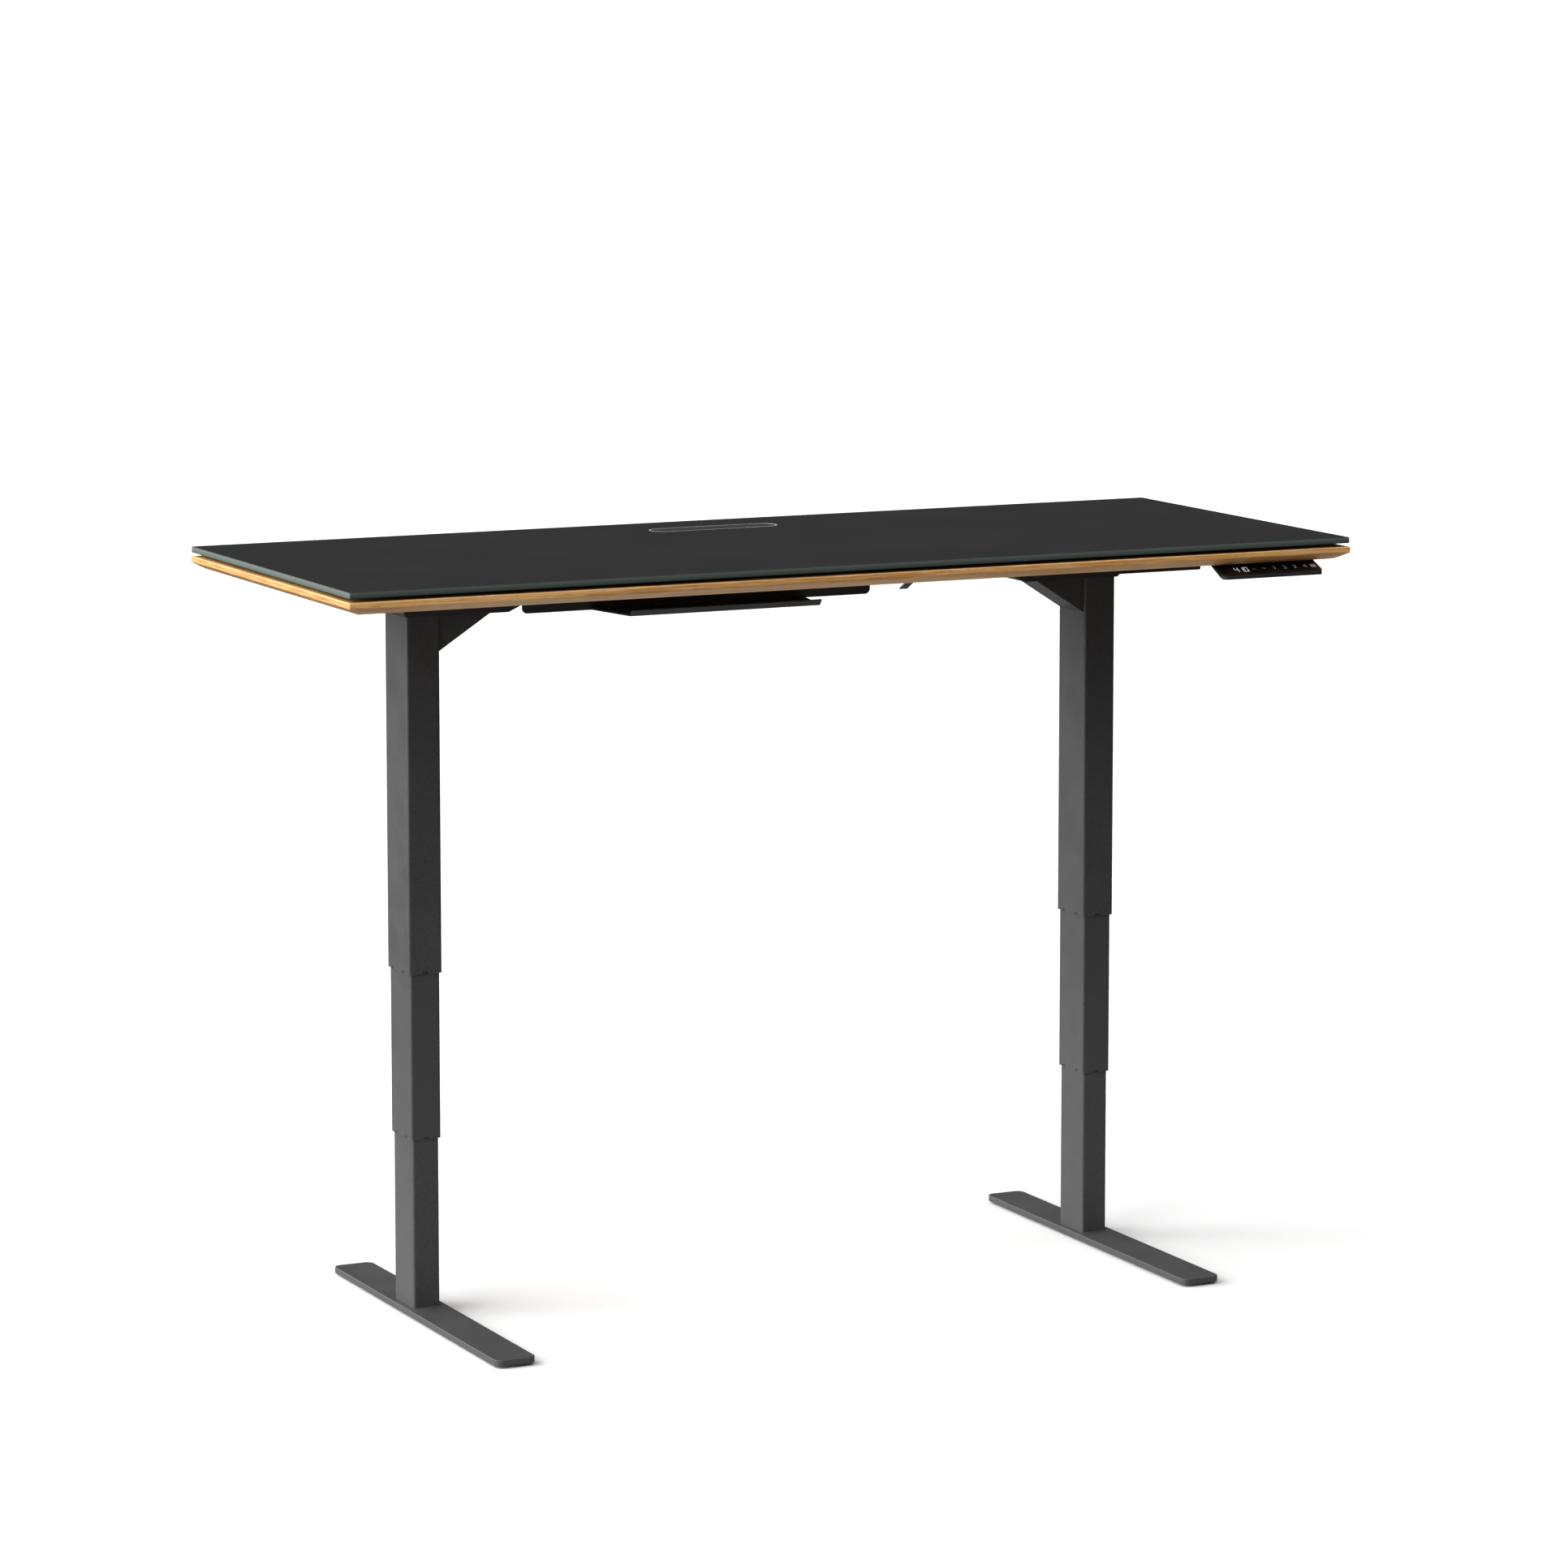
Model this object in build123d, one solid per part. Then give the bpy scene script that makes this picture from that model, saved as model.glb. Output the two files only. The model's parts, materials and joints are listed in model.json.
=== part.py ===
from build123d import *
import math
import os

# ------------------------------------------------------------------
# Driving sizes, in millimetres. X runs along the width, Y to the rear,
# Z up, and the origin is on the floor under the middle of the worktop.
# ------------------------------------------------------------------

# Worktop: a glass sheet carried above a laminated wood panel
desk_height = 1064.0
glass_length = 1524.0
glass_depth = 604.5
glass_thickness = 8.5
glass_corner_radius = 2.0
glass_arris = 0.8
glass_gap = 5.0
panel_overhang = 1.0
panel_thickness = 19.0
panel_nose = 8.0
panel_bevel_inset = 19.0
panel_bevel_blend = 30.0
panel_corner_radius = 2.0
panel_edge_round = 1.5
spacer_inset = 42.0
spacer_width = 24.0
spacer_corner_gap = 60.0

# Cable port through the glass and the panel, with a lift-out cover
port_length = 200.0
port_width = 43.0
port_rear_inset = 97.25
liner_wall = 1.5
liner_clearance = 0.25
cover_thickness = 5.0
cover_clearance = 0.3
cover_edge_round = 0.4
ledge_width = 3.0
ledge_thickness = 2.0
slot_corner_radius = 3.0
slot_length = 95.0
slot_depth = 7.5

# Legs: three nested tubes each, the widest at the top
leg_inset = 231.0
leg_y = 52.0
outer_tube_x = 50.0
outer_tube_y = 80.0
tube_wall = 1.5
tube_side_gap = 1.0
tube_corner_radius = 4.0
outer_tube_length = 499.5
middle_tube_length = 520.0
inner_tube_length = 520.0
stage_bias = 3.0
guide_height = 40.0
guide_running_gap = 0.3
guide_window_width = 9.0
guide_window_height = 3.5
guide_window_pitch = 38.0
guide_window_trim = 0.2

# Feet
foot_length = 606.0
foot_width = 60.0
foot_thickness = 9.0
foot_corner_radius = 12.0
foot_edge_round = 1.0
glide_height = 3.0
glide_diameter = 26.0
glide_edge_chamfer = 0.6
glide_inset = 34.0
glide_stud_diameter = 8.0
glide_stud_cover = 2.0
foot_plate_thickness = 8.0
foot_screw_diameter = 8.0
foot_screw_head = 15.0
foot_screw_pitch = 44.0
screw_clearance = 0.1

# Leg heads, gussets, rails and side brackets under the panel
head_lip = 5.0
head_inner_reach = 144.0
head_inner_bevel = 18.0
head_bevel_height = 8.0
head_outer_chamfer = 4.0
head_wall = 2.5
head_ear = 22.0
gusset_drop = 50.5
gusset_reach = 79.0
gusset_setback = 5.0
gusset_sheet = 2.5
rail_width = 30.0
rail_height = 20.0
rail_wall = 2.0
rail_edge_inset = 3.0
arm_width = 24.0
arm_height = 20.0
arm_sheet = 2.5
arm_front_inset = 152.25
arm_rear_inset = 47.25
arm_taper = 40.0
arm_screw_inset = 30.0

# Drive inside each leg
gearbox_side_gap = 1.5
gearbox_depth = 58.0
gearbox_corner_radius = 6.0
motor_edge_chamfer = 2.0
motor_diameter = 38.0
motor_length = 72.0
motor_wall_gap = 3.0
drive_spindle_diameter = 16.0
drive_spindle_length = 380.0
spindle_journal_diameter = 12.0
spindle_journal_length = 18.0
keyway_width = 3.0
keyway_depth = 2.0
key_clearance = 0.3
hollow_spindle_diameter = 24.0
hollow_spindle_length = 380.0
hollow_bore_gap = 0.4
hollow_collar_diameter = 29.0
hollow_collar_height = 6.0
nut_running_gap = 0.05
nut_block_height = 30.0
nut_seat_gap = 0.3
retainer_height = 6.0

# Cable tray and cable hooks
tray_rear_inset = 44.25
tray_length = 557.0
tray_drop = 84.0
tray_sheet = 2.0
tray_corner_radius = 8.0
tray_flange = 20.0
pan_reach = 95.0
pan_rear_length = 340.0
pan_front_length = 302.0
pan_lip_height = 8.5
pan_lip_lean = 7.0
hook_beside_tray = 72.0
hook_width = 13.0
hook_drop = 65.2
hook_reach = 32.0
hook_fall = 17.5
hook_flange = 22.0
hook_sheet = 2.0

# Control box
box_beside_head = 1.5
box_length = 141.0
box_rear_inset = 36.25
box_depth = 250.0
box_height = 44.5
box_wall = 2.5
box_lid_height = 12.0
box_corner_radius = 6.0
box_joint_gap = 0.3
box_edge_round = 1.5
board_thickness = 1.6
# The larger parts on the board: place from the box centre, side and height
board_parts = ((-30.0, -60.0, 34.0, 22.0), (28.0, -60.0, 26.0, 18.0),
               (-28.0, 0.0, 22.0, 24.0), (26.0, 6.0, 30.0, 16.0))
socket_width = 16.0
socket_height = 12.0
socket_depth = 10.0
socket_wall = 1.5
socket_pitch = 26.0
socket_count = 4

# Keypad under the front edge
keypad_side_inset = 123.5
keypad_length = 165.0
keypad_front_inset = 1.25
keypad_height = 18.5
keypad_nose = 4.0
keypad_face_run = 34.0
keypad_depth = 95.0
keypad_corner_radius = 10.0
keypad_sole = 4.0
keypad_top_thickness = 6.0
keypad_tongue_thickness = 3.0
keypad_tongue_inset = 22.0
keypad_face_thickness = 1.6
keypad_face_margin = 2.6
display_thickness = 0.96
key_size = 13.0
key_thickness = 1.4
key_corner_radius = 1.0
key_gap = 0.3
key_travel = 0.4
key_pitch = 16.6
first_key_offset = -23.0
display_length = 26.0
display_width = 14.0
display_offset = -44.0

# Fasteners
wood_screw_diameter = 5.0
wood_screw_length = 14.0
wood_screw_head = 10.0
wood_screw_head_height = 3.0
wood_screw_head_round = 1.8
tray_screw_spread = (0.20, 0.46)

# ------------------------------------------------------------------
# Levels and places worked out from the sizes above
# ------------------------------------------------------------------
glass_base_z = desk_height - glass_thickness
panel_top_z = glass_base_z - glass_gap
panel_base_z = panel_top_z - panel_thickness
panel_length = glass_length + 2 * panel_overhang
panel_depth = glass_depth + 2 * panel_overhang
middle_tube_x = outer_tube_x - 2 * (tube_wall + tube_side_gap)
middle_tube_y = outer_tube_y - 2 * (tube_wall + tube_side_gap)
inner_tube_x = middle_tube_x - 2 * (tube_wall + tube_side_gap)
inner_tube_y = middle_tube_y - 2 * (tube_wall + tube_side_gap)
leg_x = glass_length / 2 - leg_inset
rear_edge_y = glass_depth / 2
port_y = rear_edge_y - port_rear_inset
tray_y = rear_edge_y - tray_rear_inset
arm_front_y = arm_front_inset - rear_edge_y
arm_rear_y = rear_edge_y - arm_rear_inset
head_outer_x = leg_x + outer_tube_x / 2 + head_lip
head_inner_x = leg_x - head_inner_reach
head_depth = outer_tube_y + 2 * head_lip
head_base_z = panel_base_z - head_wall - motor_diameter - 2 * motor_wall_gap
gearbox_width = 2 * (head_outer_x - leg_x - head_outer_chamfer - gearbox_side_gap)
rail_spacing = head_depth - rail_width - 2 * rail_edge_inset
hook_x = tray_length / 2 + hook_beside_tray
box_x = head_outer_x + box_beside_head
box_front_y = rear_edge_y - box_rear_inset - box_depth
keypad_x = glass_length / 2 - keypad_side_inset
keypad_front_y = keypad_front_inset - panel_depth / 2
foot_top_z = glide_height + foot_thickness
glide_stud_top_z = foot_top_z - glide_stud_cover
outer_end_z = head_base_z - outer_tube_length
stage_share = (outer_end_z - foot_top_z) / 2
middle_end_z = foot_top_z + stage_share + stage_bias
middle_top_z = middle_end_z + middle_tube_length
inner_top_z = foot_top_z + inner_tube_length
sides = {"left": -1, "right": 1}


def block(low, high):
    """A box between two opposite corners."""
    size = [b - a for a, b in zip(low, high)]
    centre = [(a + b) / 2 for a, b in zip(low, high)]
    return Pos(*centre) * Box(*size)


def post(x, y, low_z, high_z, radius):
    """An upright cylinder."""
    return Pos(x, y, (low_z + high_z) / 2) * Cylinder(radius, high_z - low_z)


def pill(length, width, low_z, high_z, y):
    """An upright block with half-round ends, along X."""
    outline = Pos(0, y, low_z) * SlotOverall(length, width)
    return extrude(outline, high_z - low_z)


def rounded_bar(x, y, size_x, size_y, radius, low_z, high_z):
    """An upright bar with a rounded rectangular section."""
    outline = Pos(x, y, low_z) * RectangleRounded(size_x, size_y, radius)
    return extrude(outline, high_z - low_z)


def profile_xz(points, low_y, high_y):
    """A closed outline in the XZ plane, carried from low_y to high_y."""
    outline = make_face(Polyline(*[(x, low_y, z) for x, z in points], close=True))
    return extrude(outline, high_y - low_y, dir=(0, 1, 0))


def profile_yz(points, low_x, high_x):
    """A closed outline in the YZ plane, carried from low_x to high_x."""
    outline = make_face(Polyline(*[(low_x, y, z) for y, z in points], close=True))
    return extrude(outline, high_x - low_x, dir=(1, 0, 0))


def bent_sheet(points, thickness):
    """The closed outline of a sheet that follows a bent line on its left side."""
    normals = []
    for (a, b), (c, d) in zip(points, points[1:]):
        run = math.hypot(c - a, d - b)
        normals.append(((b - d) / run, (c - a) / run))
    before = normals[:1] + normals
    after = normals + normals[-1:]
    far_side = []
    for (a, b), (p, q), (r, s) in zip(points, before, after):
        mitre = thickness / (1 + p * r + q * s)
        far_side.append((a + (p + r) * mitre, b + (q + s) * mitre))
    return points + far_side[::-1]


def save(name, *shapes):
    """Write one node, as one solid or as a group of separate solids."""
    solids = [solid for shape in shapes for solid in shape.solids()]
    export_step(Compound(children=solids), f"parts/{name}.step")


def wood_screw(x, y, sheet, clearance=0.0):
    """A pan head screw through a sheet into the panel, or the hole for its shank."""
    seat_z = panel_base_z - sheet
    radius = wood_screw_diameter / 2 + clearance
    shank = post(x, y, seat_z - clearance, panel_base_z + wood_screw_length + clearance, radius)
    if clearance:
        return shank
    pan = post(x, y, seat_z - wood_screw_head_height, seat_z, wood_screw_head / 2)
    rim = pan.edges().filter_by(GeomType.CIRCLE).sort_by(Axis.Z)[0]
    return fillet(rim, wood_screw_head_round) + shank


def drill(shape, places, sheet):
    """Cut the screw holes for a list of places."""
    for x, y in places:
        shape -= wood_screw(x, y, sheet, screw_clearance)
    return shape


# Where the wood screws go: every list holds the places of one sheet part
arm_screws = {}
ear_screws = {}
for side, sign in sides.items():
    x = sign * leg_x
    head_front_y = leg_y - head_depth / 2
    head_rear_y = leg_y + head_depth / 2
    front_run = (arm_front_y + arm_screw_inset, head_front_y - arm_screw_inset)
    rear_run = (head_rear_y + arm_screw_inset, arm_rear_y - arm_screw_inset)
    arm_screws[side] = [(x, y) for y in front_run + rear_run]
    ear_screws[side] = [(sign * (head_inner_x - head_ear / 2), leg_y)]
tray_screws = [(sign * share * tray_length, tray_y - tray_flange / 2)
               for sign in sides.values() for share in tray_screw_spread]
hook_screws = [(sign * hook_x, tray_y - hook_flange / 2) for sign in sides.values()]


# ------------------------------------------------------------------
# Worktop
# ------------------------------------------------------------------
def port_hole(low_z, high_z):
    """The obround opening that the liner fits."""
    return pill(port_length, port_width, low_z, high_z, port_y)


def glass_top():
    sheet = rounded_bar(0, 0, glass_length, glass_depth, glass_corner_radius, glass_base_z, desk_height)
    faces = sheet.faces().sort_by(Axis.Z)
    sheet = chamfer(faces[0].edges() + faces[-1].edges(), glass_arris)
    return sheet - port_hole(glass_base_z - 1, desk_height + 1)


def edge_section(half_length):
    """Half-lengths and levels round the panel's section: flat top, nose, bevel, flat base."""
    return [(half_length, panel_top_z), (half_length, panel_top_z - panel_nose),
            (half_length - panel_bevel_inset, panel_base_z)]


def panel_slab(length, plane, depth):
    """The panel's section along one direction, carried across the other."""
    right = edge_section(length / 2)
    left = [(-u, z) for u, z in right[::-1]]
    section = plane * make_face(Polyline(*right, *left, close=True))
    slab = extrude(section, depth / 2, both=True)
    lines = slab.edges().filter_by(lambda e: abs(e.length - depth) < 0.001)
    base = [e for e in lines if abs(e.center().Z - panel_base_z) < 0.001]
    slab = fillet(base, panel_bevel_blend)
    lines = slab.edges().filter_by(lambda e: abs(e.length - depth) < 0.001)
    nose = [e for e in lines if e.center().Z > panel_top_z - panel_nose - 0.001]
    return fillet(nose, panel_edge_round)


def wood_panel():
    """A laminated panel, bevelled underneath on all four sides and mitred at its corners."""
    along_x = panel_slab(panel_length, Plane.XZ, panel_depth + 2)
    along_y = panel_slab(panel_depth, Plane.YZ, panel_length + 2)
    outline = rounded_bar(0, 0, panel_length, panel_depth, panel_corner_radius, panel_base_z - 1, panel_top_z + 1)
    panel = along_x & along_y & outline
    return panel - port_hole(panel_base_z - 1, panel_top_z + 1)


def glass_spacers():
    """Four flat strips between the glass and the panel, set back from the edges."""
    reach_x = glass_length / 2 - spacer_inset
    reach_y = glass_depth / 2 - spacer_inset
    strips = []
    for sign in (-1, 1):
        low_y, high_y = sorted((sign * reach_y, sign * (reach_y - spacer_width)))
        end_x = reach_x - spacer_corner_gap
        strips.append(block((-end_x, low_y, panel_top_z), (end_x, high_y, glass_base_z)))
        low_x, high_x = sorted((sign * reach_x, sign * (reach_x - spacer_width)))
        end_y = reach_y - spacer_corner_gap
        strips.append(block((low_x, -end_y, panel_top_z), (high_x, end_y, glass_base_z)))
    return strips


liner_length = port_length - 2 * liner_clearance
liner_width = port_width - 2 * liner_clearance
throat_length = liner_length - 2 * liner_wall
throat_width = liner_width - 2 * liner_wall
cover_base_z = desk_height - cover_thickness
cover_front_y = port_y - throat_width / 2 + cover_clearance


def slot_cut(low_z, high_z, grow=0.0):
    """The notch for cables along the front edge of the cover."""
    rear_y = cover_front_y + slot_depth + grow
    front_y = cover_front_y - liner_wall
    half = slot_length / 2 + grow
    notch = block((-half, front_y, low_z), (half, rear_y, high_z))
    rear_corners = notch.edges().filter_by(Axis.Z).sort_by(Axis.Y)[-2:]
    return fillet(rear_corners, slot_corner_radius)


def port_liner():
    sleeve = pill(liner_length, liner_width, panel_base_z, desk_height, port_y)
    sleeve -= pill(throat_length, throat_width, panel_base_z - 1, desk_height + 1, port_y)
    ledge_z = cover_base_z - ledge_thickness
    ledge = pill(throat_length, throat_width, ledge_z, cover_base_z, port_y)
    ledge -= pill(throat_length - 2 * ledge_width, throat_width - 2 * ledge_width,
                  ledge_z - 1, cover_base_z + 1, port_y)
    gap = block((-slot_length / 2, port_y - throat_width / 2, ledge_z - 1),
                (slot_length / 2, port_y, cover_base_z + 1))
    return sleeve + (ledge - gap)


def cable_cover():
    lid = pill(throat_length - 2 * cover_clearance, throat_width - 2 * cover_clearance,
               cover_base_z, desk_height, port_y)
    lid -= slot_cut(cover_base_z - 1, desk_height + 1)
    top = lid.faces().sort_by(Axis.Z)[-1]
    return chamfer(top.edges(), cover_edge_round)


# ------------------------------------------------------------------
# Telescopic legs
# ------------------------------------------------------------------
def tube_shell(x, size_x, size_y, low_z, high_z):
    shell = rounded_bar(x, leg_y, size_x, size_y, tube_corner_radius, low_z, high_z)
    return shell - tube_cavity(x, size_x, size_y, low_z - 1, high_z + 1)


def tube_cavity(x, size_x, size_y, low_z, high_z, gap=0.0):
    """The space inside a tube, less a gap all round."""
    inset = 2 * (tube_wall + gap)
    radius = tube_corner_radius - tube_wall - gap
    return rounded_bar(x, leg_y, size_x - inset, size_y - inset, radius, low_z, high_z)


def window_bars(x, low_z, trim=0.0):
    """Bars through all four sides of a tube, at the windows in its lower end."""
    half_width = guide_window_width / 2 - trim
    high_z = low_z + guide_window_height - trim
    bars = []
    for y in (leg_y - guide_window_pitch / 2, leg_y + guide_window_pitch / 2):
        bars.append(block((x - outer_tube_x, y - half_width, low_z), (x + outer_tube_x, y + half_width, high_z)))
    bars.append(block((x - half_width, leg_y - outer_tube_y, low_z), (x + half_width, leg_y + outer_tube_y, high_z)))
    return Part() + bars


def lower_guide(x, size_x, size_y, inner_x, inner_y, low_z):
    """A thin sleeve in a tube's lower end, with a lug in each window of the tube."""
    high_z = low_z + guide_height
    sleeve = tube_cavity(x, size_x, size_y, low_z, high_z)
    lug_band = rounded_bar(x, leg_y, size_x - 2 * guide_window_trim, size_y - 2 * guide_window_trim,
                           tube_corner_radius, low_z, high_z) - sleeve
    sleeve += lug_band & window_bars(x, low_z, guide_window_trim)
    bore = rounded_bar(x, leg_y, inner_x + 2 * guide_running_gap, inner_y + 2 * guide_running_gap,
                       tube_corner_radius + guide_running_gap, low_z - 1, high_z + 1)
    return sleeve - bore


def upper_guide(x, size_x, size_y, outer_x, outer_y, high_z):
    """A thin sleeve round a tube's upper end, which runs in the next tube."""
    low_z = high_z - guide_height
    sleeve = tube_cavity(x, outer_x, outer_y, low_z, high_z, guide_running_gap)
    return sleeve - rounded_bar(x, leg_y, size_x, size_y, tube_corner_radius, low_z - 1, high_z + 1)


def inner_tube(x):
    """The lowest tube, with the plate welded into its foot end."""
    tube = tube_shell(x, inner_tube_x, inner_tube_y, foot_top_z, inner_top_z)
    plate_top_z = foot_top_z + foot_plate_thickness
    tube += tube_cavity(x, inner_tube_x, inner_tube_y, foot_top_z, plate_top_z)
    for y in foot_screw_places():
        tube -= post(x, y, foot_top_z - 1, plate_top_z + 1, foot_screw_diameter / 2 + screw_clearance)
    return tube


# ------------------------------------------------------------------
# Feet
# ------------------------------------------------------------------
def foot_screw_places():
    return (leg_y - foot_screw_pitch / 2, leg_y + foot_screw_pitch / 2)


def glide_places():
    reach = foot_length / 2 - glide_inset
    return (-reach, reach)


def foot_screw(x, y, clearance=0.0):
    """A countersunk screw from under the foot, or the hole for it."""
    head_radius = foot_screw_head / 2 + clearance
    shank_radius = foot_screw_diameter / 2 + clearance
    cone_height = head_radius - shank_radius
    cone = Pos(x, y, glide_height + cone_height / 2) * Cone(head_radius, shank_radius, cone_height)
    return cone + post(x, y, glide_height, foot_top_z + foot_plate_thickness, shank_radius)


def foot_bar(x):
    bar = rounded_bar(x, 0, foot_width, foot_length, foot_corner_radius, glide_height, foot_top_z)
    faces = bar.faces().sort_by(Axis.Z)
    bar = fillet(faces[0].edges() + faces[-1].edges(), foot_edge_round)
    for y in foot_screw_places():
        bar -= foot_screw(x, y, screw_clearance)
    for y in glide_places():
        bar -= post(x, y, glide_height - 1, glide_stud_top_z, glide_stud_diameter / 2 + screw_clearance)
    return bar


def levellers(x):
    """A plastic glide on a short stud near each end of the foot."""
    pieces = []
    for y in glide_places():
        pad = post(x, y, 0, glide_height, glide_diameter / 2)
        pad = chamfer(pad.faces().sort_by(Axis.Z)[0].edges(), glide_edge_chamfer)
        stud = post(x, y, glide_height, glide_stud_top_z - screw_clearance, glide_stud_diameter / 2)
        pieces.append(pad + stud)
    return pieces


# ------------------------------------------------------------------
# Frame under the panel
# ------------------------------------------------------------------
def leg_head(side, sign):
    """A folded steel tub that holds the gear motor, with an ear for its screw."""
    front_y = leg_y - head_depth / 2
    rear_y = leg_y + head_depth / 2
    line = [(head_inner_x, panel_base_z),
            (head_inner_x, head_base_z + head_bevel_height),
            (head_inner_x + head_inner_bevel, head_base_z),
            (head_outer_x - head_outer_chamfer, head_base_z),
            (head_outer_x, head_base_z + head_outer_chamfer),
            (head_outer_x, panel_base_z)]
    tub = profile_xz(bent_sheet(line, head_wall), front_y, rear_y)
    tub += profile_xz(line, front_y, front_y + head_wall)
    tub += profile_xz(line, rear_y - head_wall, rear_y)
    tub += block((head_inner_x - head_ear, front_y, panel_base_z - head_wall),
                 (head_inner_x, rear_y, panel_base_z))
    spindle_hole = drive_spindle_diameter / 2 + 2 * guide_running_gap
    tub -= post(leg_x, leg_y, head_base_z - 1, head_base_z + head_wall + 1, spindle_hole)
    if sign < 0:
        tub = mirror(tub, about=Plane.YZ)
    return drill(tub, ear_screws[side], head_wall)


def gusset(sign):
    """A folded wedge between the head and the inner side of the leg."""
    leg_face_x = leg_x - outer_tube_x / 2
    front_y = leg_y - outer_tube_y / 2 + gusset_setback
    rear_y = leg_y + outer_tube_y / 2 - gusset_setback
    slope = [(leg_face_x - gusset_reach, head_base_z), (leg_face_x, head_base_z - gusset_drop)]
    triangle = slope + [(leg_face_x, head_base_z)]
    wedge = profile_xz(bent_sheet(slope, gusset_sheet), front_y, rear_y)
    wedge = wedge & profile_xz(triangle, front_y, rear_y)
    wedge += profile_xz(triangle, front_y, front_y + gusset_sheet)
    wedge += profile_xz(triangle, rear_y - gusset_sheet, rear_y)
    return wedge if sign > 0 else mirror(wedge, about=Plane.YZ)


def side_arms(side, sign):
    """Two channels that carry the panel in front of the head and behind it."""
    x = sign * leg_x
    half = arm_width / 2
    low_z = panel_base_z - arm_height
    line = [(x + half, low_z), (x + half, panel_base_z), (x - half, panel_base_z), (x - half, low_z)]
    runs = [(arm_front_y, leg_y - head_depth / 2, 1), (arm_rear_y, leg_y + head_depth / 2, -1)]
    arms = []
    for tip_y, root_y, inward in runs:
        low_y, high_y = sorted((tip_y, root_y))
        arm = profile_xz(bent_sheet(line, arm_sheet), low_y, high_y)
        taper = [(tip_y, low_z), (tip_y + inward * arm_taper, low_z), (tip_y, panel_base_z - 2 * arm_sheet)]
        arm -= profile_yz(taper, x - arm_width, x + arm_width)
        arms.append(drill(arm, arm_screws[side], arm_sheet))
    return arms


def rail(y):
    """A rectangular steel tube between the two heads."""
    top_z = panel_base_z - head_wall
    bar = block((-head_inner_x, y - rail_width / 2, top_z - rail_height),
                (head_inner_x, y + rail_width / 2, top_z))
    hollow = block((-head_inner_x - 1, y - rail_width / 2 + rail_wall, top_z - rail_height + rail_wall),
                   (head_inner_x + 1, y + rail_width / 2 - rail_wall, top_z - rail_wall))
    return bar - hollow


# ------------------------------------------------------------------
# Drive: a gear motor in each head turns two spindles in line
# ------------------------------------------------------------------
gearbox_base_z = head_base_z + head_wall
journal_top_z = gearbox_base_z + spindle_journal_length
drive_spindle_end_z = gearbox_base_z - drive_spindle_length
nut_base_z = middle_top_z - nut_block_height
collar_top_z = middle_top_z - nut_block_height / 2
collar_base_z = collar_top_z - hollow_collar_height
hollow_end_z = collar_base_z - hollow_spindle_length


def gear_motor(sign):
    """The gearbox round the spindle's upper end, with its motor lying along X."""
    x = sign * leg_x
    top_z = panel_base_z - motor_wall_gap
    gearbox = rounded_bar(x, leg_y, gearbox_width, gearbox_depth, gearbox_corner_radius,
                          gearbox_base_z, top_z)
    gearbox = fillet(gearbox.faces().sort_by(Axis.Z)[-1].edges(), motor_edge_chamfer)
    axis_z = (gearbox_base_z + top_z) / 2
    near_x = gearbox_width / 2
    can = Rot(0, 90, 0) * Cylinder(motor_diameter / 2, motor_length)
    ends = can.faces().sort_by(Axis.X)
    free_end = ends[0] if sign > 0 else ends[-1]
    can = chamfer(free_end.edges(), motor_edge_chamfer)
    can = Pos(x - sign * (near_x + motor_length / 2), leg_y, axis_z) * can
    journal_bore = spindle_journal_diameter / 2 + nut_running_gap
    return gearbox + can - post(x, leg_y, gearbox_base_z - 1, journal_top_z + key_clearance, journal_bore)


def drive_spindle(x):
    """The upper spindle, with a keyway down each side and a journal at its top."""
    radius = drive_spindle_diameter / 2
    rod = post(x, leg_y, drive_spindle_end_z, gearbox_base_z - key_clearance, radius)
    for turn in (-1, 1):
        low_x, high_x = sorted((turn * (radius - keyway_depth), turn * (radius + 1)))
        rod -= block((x + low_x, leg_y - keyway_width / 2, drive_spindle_end_z - 1),
                     (x + high_x, leg_y + keyway_width / 2, gearbox_base_z))
    rod += post(x, leg_y, gearbox_base_z - key_clearance, journal_top_z, spindle_journal_diameter / 2)
    return rod


def middle_nut(x):
    """The nut block at the top of the middle tube, and the retainer under the collar."""
    nut = tube_cavity(x, middle_tube_x, middle_tube_y, nut_base_z, middle_top_z, nut_seat_gap)
    nut -= post(x, leg_y, nut_base_z - 1, middle_top_z + 1, drive_spindle_diameter / 2 + nut_running_gap)
    pocket = hollow_collar_diameter / 2 + 2 * nut_running_gap
    nut -= post(x, leg_y, nut_base_z - 1, collar_top_z + key_clearance, pocket)
    retainer_top_z = collar_base_z - key_clearance
    retainer = post(x, leg_y, retainer_top_z - retainer_height, retainer_top_z, pocket)
    retainer -= post(x, leg_y, nut_base_z - 1, middle_top_z, hollow_spindle_diameter / 2 + 2 * nut_running_gap)
    return [nut, retainer]


def hollow_spindle(x):
    """The lower spindle: a threaded tube on a collar, keyed to the upper spindle."""
    rod = post(x, leg_y, hollow_end_z, collar_top_z, hollow_spindle_diameter / 2)
    rod += post(x, leg_y, collar_base_z, collar_top_z, hollow_collar_diameter / 2)
    bore = drive_spindle_diameter / 2 + hollow_bore_gap
    rod -= post(x, leg_y, hollow_end_z - 1, collar_top_z + 1, bore)
    for turn in (-1, 1):
        floor_x = drive_spindle_diameter / 2 - keyway_depth + key_clearance
        low_x, high_x = sorted((turn * floor_x, turn * (bore + 1)))
        half_key = keyway_width / 2 - key_clearance
        rod += block((x + low_x, leg_y - half_key, collar_base_z), (x + high_x, leg_y + half_key, collar_top_z))
    return rod


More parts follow.
